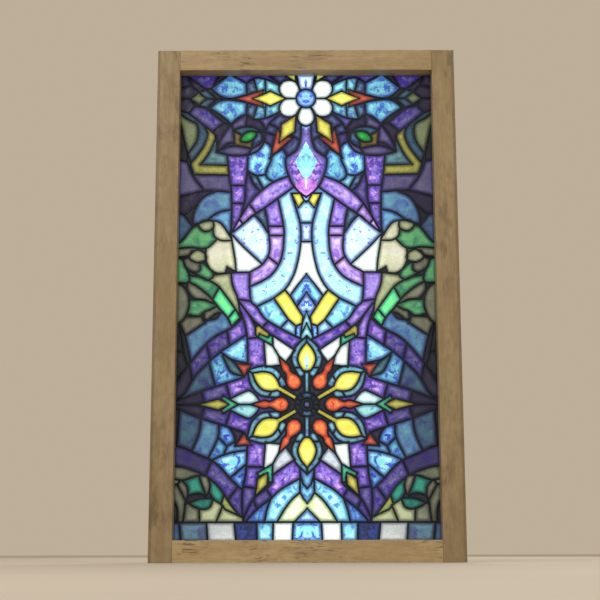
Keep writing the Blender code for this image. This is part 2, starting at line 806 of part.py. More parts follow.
def build_frame():
    """Two stiles and two rails, jointed by stub tenons and rebated at the back."""
    oak = material("oak", *OAK)
    low = -ORIGIN_HEIGHT
    high = HEIGHT - ORIGIN_HEIGHT
    shoulder = HALF_SIGHT - GAP
    rebate_wall = HALF_SIGHT + REBATE_WIDTH
    tenon_middle = (FRONT + LIP_BACK) / 2
    tenon_front = tenon_middle - TENON_THICKNESS / 2
    tenon_back = tenon_middle + TENON_THICKNESS / 2
    rails = {
        "bottom_rail": (low, low + RAIL_WIDTH, low, low + RAIL_WIDTH - REBATE_WIDTH),
        "top_rail": (high - RAIL_WIDTH, high, high - RAIL_WIDTH + REBATE_WIDTH, high),
    }
    mortises = []
    for name, (foot, head, rear_foot, rear_head) in rails.items():
        tenon_foot = foot + TENON_MARGIN
        tenon_head = head - TENON_MARGIN
        reach = HALF_SIGHT + TENON_LENGTH
        ear = rebate_wall - GAP
        blocks(name, [
            ((-shoulder, shoulder), (FRONT, LIP_BACK), (foot, head)),
            ((-shoulder, shoulder), (LIP_BACK - GAP, 0.0), (rear_foot, rear_head)),
            ((-ear, ear), (LIP_BACK + GAP, 0.0), (rear_foot, rear_head)),
            ((-reach, reach), (tenon_front, tenon_back), (tenon_foot, tenon_head)),
        ], [], oak)
        mortises.append((tenon_foot - GAP, tenon_head + GAP))
    for name, side in (("left_stile", -1), ("right_stile", 1)):
        def across(near, far):
            return tuple(sorted((near * side, far * side)))
        blocks(name, [
            (across(HALF_SIGHT, WIDTH / 2), (FRONT, 0.0), (low, high)),
        ], [
            (across(0.0, rebate_wall), (LIP_BACK, DEPTH), (low - GAP, high + GAP)),
            *[(across(0.0, HALF_SIGHT + TENON_LENGTH + GAP),
               (tenon_front - GAP, tenon_back + GAP), span) for span in mortises],
        ], oak)


def build_beads():
    """The four mitred beads that hold the panel in the rebate."""
    look = material("bead_wood", *BEAD_WOOD)
    outer_x = HALF_SIGHT + REBATE_WIDTH - GAP
    outer_low = SIGHT_BOTTOM - REBATE_WIDTH + GAP - ORIGIN_HEIGHT
    outer_high = SIGHT_TOP + REBATE_WIDTH - GAP - ORIGIN_HEIGHT
    inner_low = SIGHT_BOTTOM - ORIGIN_HEIGHT
    inner_high = SIGHT_TOP - ORIGIN_HEIGHT
    front = CAME_BACK + GAP
    for name, outer, inner in (("bottom_bead", outer_low, inner_low),
                               ("top_bead", outer_high, inner_high)):
        prism(name, [(-outer_x + GAP, outer), (outer_x - GAP, outer),
                     (HALF_SIGHT - GAP, inner), (-HALF_SIGHT + GAP, inner)], front, 0.0, look)
    for name, side in (("left_bead", -1), ("right_bead", 1)):
        prism(name, [(outer_x * side, outer_low + GAP), (outer_x * side, outer_high - GAP),
                     (HALF_SIGHT * side, inner_high - GAP), (HALF_SIGHT * side, inner_low + GAP)],
              front, 0.0, look)


def main():
    for item in list(bpy.data.objects):
        bpy.data.objects.remove(item, do_unlink=True)
    build_frame()
    build_beads()
    build_panel()


main()
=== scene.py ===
"""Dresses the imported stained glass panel: glass, lead cames, oak frame and stage."""

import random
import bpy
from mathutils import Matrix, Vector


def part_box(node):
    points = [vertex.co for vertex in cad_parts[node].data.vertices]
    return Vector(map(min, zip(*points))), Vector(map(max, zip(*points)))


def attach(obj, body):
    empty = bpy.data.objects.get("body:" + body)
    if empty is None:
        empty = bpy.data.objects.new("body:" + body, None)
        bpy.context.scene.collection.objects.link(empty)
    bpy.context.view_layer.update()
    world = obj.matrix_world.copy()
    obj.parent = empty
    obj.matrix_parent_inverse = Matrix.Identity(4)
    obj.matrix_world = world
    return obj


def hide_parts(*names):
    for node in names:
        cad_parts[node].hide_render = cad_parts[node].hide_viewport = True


bl_info = {
    "name": "Leaded glass panel",
    "version": (1, 0, 0),
    "blender": (4, 5, 0),
    "location": "View3D > Sidebar > Leaded glass",
    "description": "Glazes and finishes a leaded glass panel in an oak frame",
    "category": "Object",
}

from functools import lru_cache
from math import cos, hypot, pi, radians, sin

import bmesh
import bpy
import numpy as np
from mathutils import Vector
from mathutils.geometry import delaunay_2d_cdt

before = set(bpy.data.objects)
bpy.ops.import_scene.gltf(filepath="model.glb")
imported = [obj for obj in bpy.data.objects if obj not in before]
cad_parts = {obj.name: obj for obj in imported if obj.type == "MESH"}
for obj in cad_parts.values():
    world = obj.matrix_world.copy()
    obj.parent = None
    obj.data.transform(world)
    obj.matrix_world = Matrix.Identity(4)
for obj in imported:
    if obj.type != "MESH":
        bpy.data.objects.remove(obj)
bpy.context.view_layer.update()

BODY = "root"
NET_NODE = "lead_cames_with_field_glass"
STILES = ("left_stile", "right_stile")
RAILS = ("top_rail", "bottom_rail")
BEADS = ("left_bead", "right_bead", "top_bead", "bottom_bead")

# How light the oak of each member is beside the others
OAK_LIGHT = {"left_stile": 0.86, "right_stile": 0.85, "top_rail": 1.06, "bottom_rail": 1.26}

# Wear that no setting changes, and how light the beads are
RAIL_SMUDGES = 0.3
STILE_MARKS = 0.25
BEAD_SMUDGES = 0.3
BEAD_MARKS = 0.2
BEAD_LIGHT = 0.8

# The cartoon was drawn at these sizes, in millimetres: x is the distance from
# the panel's axis and z the height above the frame's bottom
DRAWN_HALF_SIGHT = 255.0
DRAWN_SIGHT_BOTTOM = 42.0
DRAWN_SIGHT_TOP = 978.0
HALF_CARTOON = 258.0
CARTOON_BOTTOM = 39.0
CARTOON_TOP = 981.0
DAISY = (0.0, 929.5)
ROSETTE = (0.0, 302.0)
SIX = (-60, 0, 60)

# A rounded line has this many stretches between two of its points
BENDS = 5

# How the lines are joined, in the cartoon's millimetres, and the smallest pane in square ones
JOIN_REACH = 6.0
JOIN_OVERRUN = 0.8
AXIS_REACH = 1.5
SAME_PLACE = 0.9
WELD = 0.02
SMALLEST_PANE = 14.0

# Where the cartoon lies in the frame
HALF_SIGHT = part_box("right_stile")[0].x
HALF_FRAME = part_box("right_stile")[1].x
SIGHT_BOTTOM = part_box("bottom_rail")[1].z
SIGHT_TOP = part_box("top_rail")[0].z
PANEL_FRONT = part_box(NET_NODE)[0].y
PANEL_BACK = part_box(NET_NODE)[1].y
PANEL_MIDDLE = (PANEL_FRONT + PANEL_BACK) / 2
PANEL_DEPTH = PANEL_BACK - PANEL_FRONT
GLASS_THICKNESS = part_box("daisy_disc")[1].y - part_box("daisy_disc")[0].y
FRAME_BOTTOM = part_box("left_stile")[0].z
FRAME_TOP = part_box("left_stile")[1].z
SCALE_X = HALF_SIGHT / DRAWN_HALF_SIGHT
SCALE_Z = (SIGHT_TOP - SIGHT_BOTTOM) / (DRAWN_SIGHT_TOP - DRAWN_SIGHT_BOTTOM)

# How a pane is meshed: its step as a share of its width, then the jitter of its points and
# their margin from the rim as shares of that step
STEP_PER_WIDTH = 0.32
JITTER = 0.3
RIM_MARGIN = 0.4

# Half the hairline where two colours meet without lead, in metres
SEAM_GAP = 0.00003

# The swell of the glass in metres, and how closely its waves follow across and up
SWELL = 0.00025
SWELL_WAVES = (210, 170)

# A pane with no lead around it counts as this far from lead, in metres. In a narrow pane the
# distances from the lead are stretched, at most this many times, so that its middle is lit too
FAR_FROM_LEAD = 0.05
WIDEST_STRETCH = 2.2

# Panes whose middles lie further apart than a metre over this have clouds of their own
SEEDS_PER_METRE = 900

# The glass gives back this share of the light that falls on it from the room
ROOM_LIGHT = 0.14

# Painted light from behind the panel, by the distance from its axis in metres: it fades into painted
# shade at the sides between the two distances of SIDE_FADE, and it is brightest on the axis
SIDE_FADE = (0.12, 0.26)
MIDDLE_REACH = 0.13
MIDDLE_LIGHT = 1.16

# The frame's outer arris is darkened with painted shade from here to here, in metres in from the edge
ARRIS_SHADE_START = 0.0075
ARRIS_SHADE_FULL = 0.0040

# A came's section has ten sides, and bulges a little past its face on either side
CAME_SIDES = 10
RADIUS_PER_FACE = 0.53

# Solder lies where a came turns to less than this angle, in degrees
SHARP_TURN = 140

# The camera that sees the panel as the photo does, in metres and degrees
CAMERA_PLACE = (-0.0097, -2.4684, -0.983)
CAMERA_TURN = (101.29, 0.129, 0.103)
CAMERA_LENS = 75.72
CAMERA_SENSOR = 36.0

# Soft lamps: name, place and size in metres, and power in watts
LAMPS = (("key light", (-1.5, -2.2, 1.2), 1.6, 34.0), ("fill light", (1.9, -1.9, 0.2), 1.8, 12.0),
         ("back light", (0.8, 2.0, 1.0), 1.6, 22.0))
AIR_STRENGTH = 0.85
FLOOR_REACH = 6.0

# Glass colours as seen with light behind: the body, its clouds and rims, its bright spots. The _lit tones
# are brighter copies, and the _dim, _dusk and _dark tones and the greyer teal, blue and aqua copies are
# darker
# copies of other tones: painted light and painted shade
TONES = {
    "pool": ((0.52, 0.78, 0.98), (0.24, 0.36, 0.90), (0.84, 0.98, 1.02)),
    "cobalt": ((0.32, 0.46, 0.96), (0.24, 0.32, 0.88), (0.60, 0.74, 1.00)),
    "milk": ((1.04, 1.07, 1.04), (0.80, 0.90, 0.92), (1.14, 1.14, 1.12)),
    "milk_mid": ((0.84, 0.88, 0.90), (0.56, 0.62, 0.74), (1.02, 1.04, 1.04)),
    "milk_warm": ((0.96, 1.01, 0.90), (0.74, 0.86, 0.50), (1.12, 1.14, 1.10)),
    "milk_cool": ((0.92, 1.02, 1.01), (0.56, 0.80, 0.84), (1.10, 1.13, 1.10)),
    "milk_dim": ((0.84, 0.86, 0.84), (0.68, 0.72, 0.76), (1.00, 1.00, 0.97)),
    "ice": ((0.84, 0.99, 1.00), (0.34, 0.42, 0.93), (1.06, 1.10, 1.06)),
    "cyan_lit": ((0.72, 0.96, 0.97), (0.32, 0.46, 0.88), (1.00, 1.08, 1.04)),
    "cyan": ((0.58, 0.92, 0.95), (0.32, 0.56, 0.86), (0.92, 1.06, 1.02)),
    "mint": ((0.66, 0.92, 0.90), (0.42, 0.70, 0.84), (0.90, 1.02, 0.98)),
    "mottle": ((0.42, 0.76, 0.85), (0.24, 0.38, 0.76), (0.70, 0.94, 0.94)),
    "mottle_lit": ((0.58, 0.94, 0.98), (0.26, 0.38, 0.86), (0.92, 1.08, 1.04)),
    "blue_lit": ((0.66, 0.90, 0.98), (0.30, 0.40, 0.88), (0.98, 1.08, 1.04)),
    "blue": ((0.34, 0.48, 0.58), (0.16, 0.20, 0.44), (0.58, 0.80, 0.84)),
    "blue_deep": ((0.40, 0.68, 0.90), (0.20, 0.28, 0.72), (0.70, 0.94, 0.98)),
    "aqua": ((0.50, 0.78, 0.76), (0.26, 0.36, 0.62), (0.76, 0.98, 0.90)),
    "aqua_lit": ((0.60, 0.98, 0.96), (0.30, 0.50, 0.76), (0.86, 1.06, 1.02)),
    "aqua_deep": ((0.30, 0.36, 0.52), (0.18, 0.16, 0.42), (0.44, 0.56, 0.66)),
    "teal": ((0.27, 0.45, 0.50), (0.16, 0.26, 0.42), (0.42, 0.66, 0.68)),
    "teal_pale": ((0.38, 0.56, 0.58), (0.22, 0.36, 0.46), (0.54, 0.74, 0.74)),
    "teal_shaded": ((0.27, 0.42, 0.49), (0.20, 0.22, 0.46), (0.36, 0.56, 0.60)),
    "blue_shaded": ((0.37, 0.57, 0.69), (0.26, 0.34, 0.62), (0.48, 0.74, 0.78)),
    "aqua_shaded": ((0.46, 0.72, 0.84), (0.28, 0.42, 0.78), (0.66, 0.90, 0.92)),
    "slate": ((0.40, 0.54, 0.60), (0.24, 0.30, 0.46), (0.66, 0.74, 0.76)),
    "violet": ((0.37, 0.35, 0.54), (0.24, 0.17, 0.58), (0.52, 0.48, 0.70)),
    "violet_lit": ((0.57, 0.48, 0.86), (0.34, 0.24, 0.68), (0.98, 0.74, 1.02)),
    "violet_mid": ((0.46, 0.40, 0.74), (0.28, 0.18, 0.62), (0.78, 0.58, 0.92)),
    "violet_dusk": ((0.26, 0.25, 0.38), (0.18, 0.12, 0.46), (0.36, 0.34, 0.46)),
    "orchid": ((0.68, 0.59, 0.94), (0.44, 0.32, 0.80), (0.94, 0.78, 1.02)),
    "orchid_lit": ((0.82, 0.72, 1.00), (0.58, 0.42, 0.84), (1.08, 0.94, 1.06)),
    "cream_mid": ((0.76, 0.79, 0.62), (0.58, 0.62, 0.44), (0.90, 0.92, 0.78)),
    "lilac": ((0.50, 0.48, 0.76), (0.33, 0.28, 0.62), (0.72, 0.60, 0.88)),
    "violet_grey": ((0.38, 0.37, 0.48), (0.25, 0.17, 0.50), (0.52, 0.50, 0.58)),
    "violet_dark": ((0.19, 0.18, 0.25), (0.12, 0.09, 0.30), (0.28, 0.27, 0.34)),
    "night": ((0.13, 0.16, 0.20), (0.08, 0.11, 0.20), (0.24, 0.27, 0.32)),
    "ink": ((0.14, 0.17, 0.26), (0.17, 0.26, 0.54), (0.12, 0.12, 0.18)),
    "rose": ((0.80, 0.50, 0.90), (0.60, 0.30, 0.76), (0.98, 0.80, 1.02)),
    "sun": ((0.98, 0.99, 0.45), (0.95, 0.88, 0.30), (1.04, 1.05, 0.76)),
    "sun_dim": ((0.85, 0.85, 0.36), (0.76, 0.66, 0.24), (0.96, 0.96, 0.62)),
    "gold": ((0.84, 0.82, 0.40), (0.60, 0.54, 0.22), (0.96, 0.95, 0.58)),
    "olive": ((0.70, 0.70, 0.36), (0.52, 0.50, 0.22), (0.84, 0.84, 0.56)),
    "amber": ((0.50, 0.44, 0.22), (0.30, 0.24, 0.16), (0.74, 0.60, 0.28)),
    "flame": ((0.96, 0.50, 0.30), (0.86, 0.25, 0.20), (1.04, 0.90, 0.50)),
    "ember": ((0.82, 0.40, 0.29), (0.66, 0.23, 0.24), (0.95, 0.58, 0.40)),
    "leaf": ((0.18, 0.76, 0.32), (0.06, 0.50, 0.22), (0.50, 0.92, 0.50)),
    "green": ((0.42, 0.72, 0.47), (0.14, 0.48, 0.38), (0.56, 0.88, 0.54)),
    "green_lit": ((0.48, 1.00, 0.62), (0.22, 0.84, 0.64), (0.70, 1.08, 0.66)),
    "jade": ((0.32, 0.78, 0.60), (0.16, 0.56, 0.46), (0.48, 0.94, 0.72)),
    "jade_deep": ((0.19, 0.62, 0.52), (0.10, 0.42, 0.40), (0.32, 0.76, 0.64)),
    "lime": ((0.76, 0.82, 0.46), (0.54, 0.60, 0.30), (0.92, 0.96, 0.62)),
    "moss": ((0.50, 0.54, 0.40), (0.34, 0.40, 0.26), (0.60, 0.64, 0.50)),
    "cream": ((0.90, 0.90, 0.79), (0.78, 0.80, 0.62), (1.02, 1.02, 0.95)),
    "cream_dim": ((0.56, 0.57, 0.49), (0.38, 0.39, 0.32), (0.74, 0.74, 0.64)),
    "olive_dim": ((0.50, 0.51, 0.43), (0.36, 0.38, 0.31), (0.62, 0.62, 0.52)),
}
DARK_GLASS = "night"

# Sheets of like glass: tones, record slot, the CAD panes they stand for, then the clouds'
# size in metres, their share of the surface and softness, and the share of bright spots
SHEETS = {
    "opal_white_panes": (("milk", "milk_mid", "milk_warm", "milk_cool", "milk_dim"), "milk_glass",
                         ("daisy_petal", "rosette_white_petal"), (0.030, 0.20, 0.20, 0.3)),
    "pale_cyan_panes": (("ice", "cyan_lit", "mint"), "cyan_glass", (), (0.015, 0.16, 0.03, 0.45)),
    "cyan_panes": (("cyan",), "cyan_glass", ("vase_drop",), (0.016, 0.34, 0.06, 0.45)),
    "mottled_blue_panes": (("pool", "cobalt", "mottle", "mottle_lit", "blue_lit"), "mottle_glass",
                           ("daisy_disc", "blue_petal"), (0.014, 0.40, 0.06, 0.50)),
    "deep_blue_panes": (("blue", "blue_deep", "ink"), "pool_glass", (), (0.013, 0.44, 0.06, 0.40)),
    "aqua_panes": (("aqua", "aqua_lit", "aqua_deep", "aqua_shaded", "teal_pale"), "cyan_glass", (),
                   (0.018, 0.36, 0.08, 0.35)),
    # These panes include greyer copies of brighter blue tones: painted shade
    "hazy_blue_panes": (("blue_shaded", "teal_shaded", "teal", "slate"), "pool_glass", (),
                        (0.030, 0.36, 0.16, 0.35)),
    "violet_panes": (("violet_lit", "violet_mid", "violet"), "violet_glass", (), (0.013, 0.44, 0.07, 0.70)),
    "lilac_panes": (("lilac", "orchid", "orchid_lit"), "violet_glass", ("vase_shoulders", "bracket_bend"),
                    (0.016, 0.40, 0.09, 0.70)),
    # These panes include darker copies of the violet tones: painted shade
    "smoky_violet_panes": (("violet_dusk", "violet_grey", "violet_dark", "night"), "violet_glass", (),
                           (0.040, 0.25, 0.20, 0.25)),
    "rose_panes": (("rose",), "rose_glass", ("vase_base",), (0.020, 0.30, 0.10, 0.45)),
    "yellow_panes": (("sun", "sun_dim"), "sun_glass", ("daisy_kite", "rosette_yellow_petal"),
                     (0.030, 0.18, 0.16, 0.30)),
    "gold_panes": (("gold", "olive", "amber"), "sun_glass", (), (0.030, 0.30, 0.18, 0.30)),
    "red_panes": (("flame", "ember"), "flame_glass", ("daisy_chevron", "rosette_red_bud"),
                  (0.014, 0.34, 0.10, 0.30)),
    "green_panes": (("leaf", "green", "green_lit", "jade", "jade_deep", "lime"), "leaf_glass",
                    ("green_almond",), (0.030, 0.32, 0.16, 0.35)),
    "stone_panes": (("moss", "cream", "cream_mid", "cream_dim", "olive_dim"), "milk_glass", (),
                    (0.036, 0.22, 0.18, 0.30)),
}


class Cartoon:
    """The lead lines of one half of the picture, and the glass colour of its panes."""

    def __init__(self):
        self.lines = []
        self.seams = []
        self.panes = []

    def line(self, points, seam=False):
        """Adds a lead line, or a seam: a change of colour that has no lead over it."""
        self.lines.append(list(points))
        self.seams.append(seam)

    def lead(self, *points, seam=False):
        self.line(points, seam)

    def curve(self, *points, seam=False):
        self.line(rounded(points), seam)

    def half_curve(self, *points):
        """A rounded line that is its own mirror image, kept on the drawn half."""
        self.line((max(x, 0.0), z) for x, z in rounded(points) if x > -1e-6)

    def loop(self, *points):
        self.line(list(points) + [points[0]])

    def round_loop(self, *points):
        self.line(rounded(points, True))

    def glass(self, tone, *places):
        self.panes.extend((place, tone) for place in places)

    def band(self, tones, one, other, cuts):
        """A ribbon between two rounded edges, cut across at shares of its length."""
        a, b = rounded(one), rounded(other)
        self.line(a)
        self.line(b)
        for share in cuts:
            self.lead(along(a, share), along(b, share))
        stops = [0.0, *cuts, 1.0]
        for i, (start, end) in enumerate(zip(stops, stops[1:])):
            p, q = along(a, (start + end) / 2), along(b, (start + end) / 2)
            self.glass(tones[i % len(tones)], ((p[0] + q[0]) / 2, (p[1] + q[1]) / 2))


def rounded(points, closed=False):
    """Points along a rounded line (Catmull-Rom) through the given ones."""
    count = len(points)
    if count < 3:
        return list(points)
    out = []
    for i in range(count if closed else count - 1):
        p1 = points[i]
        p2 = points[(i + 1) % count]
        p0 = points[i - 1] if closed or i > 0 else (2 * p1[0] - p2[0], 2 * p1[1] - p2[1])
        p3 = (points[(i + 2) % count] if closed or i < count - 2
              else (2 * p2[0] - p1[0], 2 * p2[1] - p1[1]))
        for k in range(BENDS):
            t = k / BENDS
            out.append(tuple(0.5 * (2 * b + (c - a) * t + (2 * a - 5 * b + 4 * c - d) * t ** 2
                                    + (3 * b - a - 3 * c + d) * t ** 3)
                             for a, b, c, d in zip(p0, p1, p2, p3)))
    out.append(points[0] if closed else points[-1])
    return out


def along(points, share):
    """The place a share of the way along a line of points."""
    lengths = [apart(a, b) for a, b in zip(points, points[1:])]
    left = share * sum(lengths)
    for a, b, length in zip(points, points[1:], lengths):
        if left <= length:
            t = left / length
            return (a[0] + (b[0] - a[0]) * t, a[1] + (b[1] - a[1]) * t)
        left -= length
    return points[-1]


def turned(centre, angle):
    """Maps (outward, sideways) from a centre at an angle onto the cartoon."""
    c, s = cos(radians(angle)), sin(radians(angle))
    return lambda u, v: (centre[0] + u * c - v * s, centre[1] + u * s + v * c)


def half_ring(centre, radius, step):
    """The half of a circle that lies on the drawn side of the axis."""
    return [(radius * cos(radians(a)), centre[1] + radius * sin(radians(a)))
            for a in range(-90, 91, step)]


def draw_daisy(c):
    c.line(half_ring(DAISY, 20, 15))
    c.glass("pool", DAISY)
    side = ((35, 20.2), (44, 19.5), (54, 14), (60, 5), (60, -5), (54, -14), (44, -19.5), (35, -20.2))
    lowest = ((19, 9), (28, 14), (38, 17), (47, 16), (55, 10), (59, 0), (55, -10), (47, -16), (38, -17),
              (28, -14), (19, -9))
    for a, petal in ((-90, lowest), (-30, side), (30, side)):
        p = turned(DAISY, a)
        c.half_curve(*[p(u, v) for u, v in petal])
        c.glass("milk", p(40, 0))
    c.lead((12, 944), (19.5, 985))
    c.lead((0, 973), (3.6, 966), (2.2, 956), (0, 951), seam=True)
    c.glass("ice", (7, 972))
    c.glass("cobalt", (0, 962))
    for a in SIX:
        p = turned(DAISY, a)
        c.lead(p(20, 0), p(40, 0))
        draw_kite(c, p, a)
    # wedges between the side kites and the upper and lower ones
    p = turned(DAISY, -30)
    c.glass("violet", p(85, 0))
    p = turned(DAISY, 30)
    c.glass("violet", p(80, 0))
    c.glass("lime", (29, 975))
    c.glass("aqua_deep", (51, 973))


def draw_kite(c, p, a):
    c.loop(p(40, 0), p(73, 16), p(108, 0), p(73, -16))
    c.glass("sun" if a == 0 else "sun_dim", p(73, 0))
    if a == 60:
        c.curve(*[p(u, -v) for u, v in ((51, 26), (64, 34), (84, 42), (104, 44), (122, 33))])
        return
    c.lead(p(89, 8.7), p(87, 18.5), p(147, 0), p(87, -18.5), p(89, -8.7))
    c.glass("ember", p(118, 2), p(118, -2))
    if a == 0:
        reach = {1: (26, 34, 42, 44, 33), -1: (26, 34, 42, 44, 33)}
    else:
        reach = {1: (26, 33, 38, 36, 27)}
    for s in (1, -1):
        if s in reach:
            c.curve(*[p(u, v * s) for u, v in zip((51, 64, 84, 104, 122), reach[s])])
            c.lead(p(82, 11 * s), p(84, 40 * s))
            c.lead(p(99, 14.5 * s), p(106, 40 * s))
        else:
            c.lead(p(82, 11 * s), p(84, 34 * s))
            c.lead(p(99, 14.5 * s), p(104, 32 * s))
        c.glass("aqua_lit" if a == 0 else "aqua_deep", p(67, 23 * s), p(96, 25 * s))
        c.glass("blue" if a == 0 else "violet_dusk", p(113, 19 * s))
        if a == 0:
            c.lead(p(122, 33 * s), p(121, 8 * s))


def draw_big_petals(c):
    c.curve((121, 937), (128, 936), (152, 930), (172, 933), (194, 951))
    c.lead((122, 962), (156, 982))
    c.lead((156, 982), (194, 951))
    c.curve((121, 921), (135, 924), (160, 927), (180, 923), (196, 909))
    c.curve((196, 909), (178, 897), (163, 885), (152, 875))
    c.lead((152, 875), (122, 896))
    c.glass("mottle", (155, 955), (155, 905))
    c.loop((203, 929.5), (219, 943), (237, 929.5), (219, 916))
    c.glass("moss", (219, 930))
    c.lead((219, 943), (205, 950), (183, 929.5), (203, 909), (219, 916))
    c.lead((147, 929.5), (203, 929.5))
    c.glass("teal", (196, 938), (196, 921))
    c.lead((194, 951), (205, 950))
    c.lead((196, 909), (203, 909))
    c.lead((237, 929.5), (262, 929.5))


def draw_top_left(c):
    c.lead((205, 950), (238, 975), (244, 982))
    c.lead((194, 951), (176, 982))
    c.glass("violet", (205, 970))
    c.glass("violet_dark", (172, 972), (223, 957))
    c.lead((219, 943), (234, 958), (262, 950))
    c.lead((234, 958), (238, 975))
    c.glass("violet_dark", (250, 970), (250, 940))
    c.lead((219, 916), (226, 914), (237, 929.5))
    c.glass("violet_dark", (250, 915))
    c.lead((203, 909), (226, 914), (240, 899), (191, 859), (168, 878), (203, 909))
    c.glass("violet", (205, 888))
    c.lead((262, 905), (240, 899))


def draw_vase(c):
    c.curve((10, 872), (10, 858), (12.5, 838), (19, 820), (30, 811), (40, 804), (42, 795),
            (40, 779), (35, 764), (29, 749), (18, 735), (0, 720))
    c.curve((0, 838), (5, 828), (11, 816), (15, 807), (22, 796), (18, 785), (13, 775), (6, 763),
            (0, 758), seam=True)
    c.curve((0, 758), (11, 759), (19, 752), (21, 744), (16, 735), (8, 728), (0, 724), seam=True)
    c.curve((16, 805), (28, 798), (34, 784), (30, 769), (19, 753), seam=True)
    c.lead((0, 762), (2.4, 750), (0, 736), seam=True)
    c.lead((10, 864), (0, 864), seam=True)
    c.glass("cyan_lit", (0, 868))
    c.glass("lilac", (6, 852), (35, 795))
    c.glass("violet_lit", (25, 780))
    c.glass("cyan", (0, 800))
    c.glass("rose", (12, 748))
    c.glass("milk", (0, 750))


def draw_jewel(c):
    p = turned((117, 848), 149)
    c.round_loop(*[p(u, v) for u, v in ((18, 0), (9, 9), (-6, 9.5), (-18, 0), (-9, -9), (6, -9.5))])
    c.glass("leaf", (117, 848))
    c.lead((148, 862), (145, 829))
    c.lead((105, 838), (110, 823))
    c.lead((132, 852), (148, 862))
    c.glass("amber", (139, 838))
    c.curve((148, 862), (128, 869), (108, 868), (92, 858), (89, 842), (95, 832), (110, 823))
    c.lead((104, 857), (92, 858))
    c.glass("teal", (118, 865))
    c.glass("blue", (97, 846))


def draw_lids(c):
    c.curve((182, 816), (172, 845), (152, 875))
    c.curve((152, 875), (139, 888), (122, 896.5))
    c.curve((182, 816), (160, 833), (146, 836))
    c.curve((182, 816), (150, 829), (110, 823))
    c.lead((148, 862), (152, 875))
    c.lead((122, 869), (122, 896))
    c.lead((92, 858), (82, 862))
    c.lead((96, 887), (84, 866))
    c.glass("violet_grey", (159, 852), (137, 878))
    c.glass("violet_dark", (105, 877))
    c.curve((182, 816), (150, 808), (118, 809))
    c.glass("violet_grey", (150, 818))
    c.glass("violet_dark", (160, 829))
    c.curve((118, 809), (98, 818), (84, 837))
    c.lead((118, 809), (110, 823))
    c.glass("violet_grey", (98, 825))
    c.lead((168, 878), (152, 875))
    c.glass("violet_dark", (169, 866))


def draw_left_field(c):
    c.curve((262, 903), (245, 888), (224, 876), (219, 860), (223, 838), (240, 812))
    c.curve((262, 893), (254, 870), (247, 840), (240, 812))
    c.glass("moss", (235, 850))
    c.glass("night", (257, 850))
    c.curve((209, 874), (200, 855), (206, 832), (218, 812), (233, 793))
    c.lead((240, 812), (233, 793))
    c.glass("teal", (213, 850))
    c.curve((191, 859), (184, 850), (186, 838), (198, 812), (214, 789))
    c.lead((214, 789), (162, 787))
    c.curve((233, 793), (233, 786), (226, 768))
    c.lead((226, 768), (157, 767))
    c.glass("olive", (200, 830))
    c.curve((184, 850), (181, 832), (182, 816))
    c.glass("teal_pale", (180, 798))
    c.glass("violet_dark", (178, 850))
    c.curve((240, 812), (240, 795), (228, 765), (206, 735))
    c.lead((262, 800), (240, 795))
    c.glass("violet_grey", (252, 815), (250, 760))
    c.lead((206, 735), (262, 720))
    c.glass("violet_grey", (190, 750))


def draw_column(c):
    c.curve((160, 808), (156, 770), (151, 735), (150, 690), (151, 645))
    c.curve((118, 809), (119, 775), (123, 745), (124, 715), (131, 681))
    c.lead((155, 745), (123, 745))
    c.lead((151, 708), (125, 708))
    c.glass("violet_lit", (140, 780), (138, 725), (140, 690))
    c.curve((206, 735), (180, 734), (151, 731))


def draw_blue_fans(c):
    c.curve((84, 837), (71, 826), (71, 800), (80, 778), (82, 768))
    c.curve((82, 768), (100, 766), (122, 778))
    c.glass("mottle_lit", (92, 800))
    c.lead((70, 809), (47, 821), (40, 806))
    c.curve((82, 768), (78, 760), (66, 752))
    c.glass("mottle", (57, 780))
    c.lead((100, 766), (86, 738))
    c.curve((118, 775), (106, 748), (92, 733))
    c.glass("cyan", (84, 752))
    c.glass("blue", (104, 758))
    c.glass("violet", (112, 735))


def draw_arch(c):
    upper = ((37, 764), (66, 752), (92, 733), (112, 711), (131, 681), (151, 645))
    lower = ((27, 740), (45, 727), (60, 716), (84, 698), (100, 688), (128, 664), (151, 645))
    c.band(["orchid", "orchid_lit", "orchid_lit"], upper, lower, (0.58, 0.80))


def draw_arcs_left(c):
    c.curve((228, 660), (225, 690), (208, 720), (180, 734))
    c.curve((228, 664), (203, 671), (178, 688), (151, 695))
    c.curve((203, 671), (188, 672), (170, 665), (149, 634))
    c.glass("blue_shaded", (190, 705))
    c.glass("aqua_shaded", (165, 680))
    c.lead((262, 690), (245, 684), (228, 660))
    c.glass("teal_shaded", (245, 655))
    c.curve((221, 706), (236, 690), (245, 684))
    c.glass("violet_dark", (240, 710))
    c.glass("night", (232, 685))


def draw_garden(c):
    c.round_loop((216, 662), (206, 672), (188, 671), (187, 656), (204, 650))
    c.glass("cream_mid", (201, 662))
    c.curve((187, 656), (184, 640), (170, 631), (149, 631))
    c.glass("cream", (172, 648))
    c.curve((216, 662), (228, 658), (246, 634), (262, 620))
    c.curve((262, 614), (230, 617), (200, 615), (178, 634))
    c.glass("green", (220, 635))
    c.curve((200, 615), (201, 594), (192, 573), (178, 564), (162, 564), (140, 565))
    c.lead((162, 564), (158, 577), (141, 567))
    c.glass("night", (154, 569))
    c.curve((151, 645), (147, 620), (142, 590), (140, 565))
    c.glass("cream", (170, 600))
    c.lead((140, 565), (113, 566))
    c.curve((151, 645), (125, 617), (88, 582))
    c.glass("milk", (125, 595))
    c.curve((118, 674), (105, 682), (90, 667), (76, 645))
    c.glass("ice", (105, 635))
    c.glass("blue", (90, 685))
    c.round_loop((219, 612), (203, 605), (200, 592), (218, 586), (234, 597))
    c.glass("cream_mid", (215, 600))
    c.curve((262, 596), (236, 600), (226, 612))
    c.glass("cream_dim", (248, 606))
    c.lead((234, 597), (247, 592))
    c.curve((262, 596), (247, 592), (240, 576), (224, 566), (212, 571), (212, 588))
    c.glass("cream_dim", (230, 580))
    c.curve((262, 545), (236, 545), (233, 560), (240, 576))
    c.glass("green", (250, 560))
    c.curve((218, 586), (205, 584), (192, 573))
    c.glass("green", (202, 568))
    c.curve((224, 566), (207, 555), (196, 550), (185, 558), (187, 568))


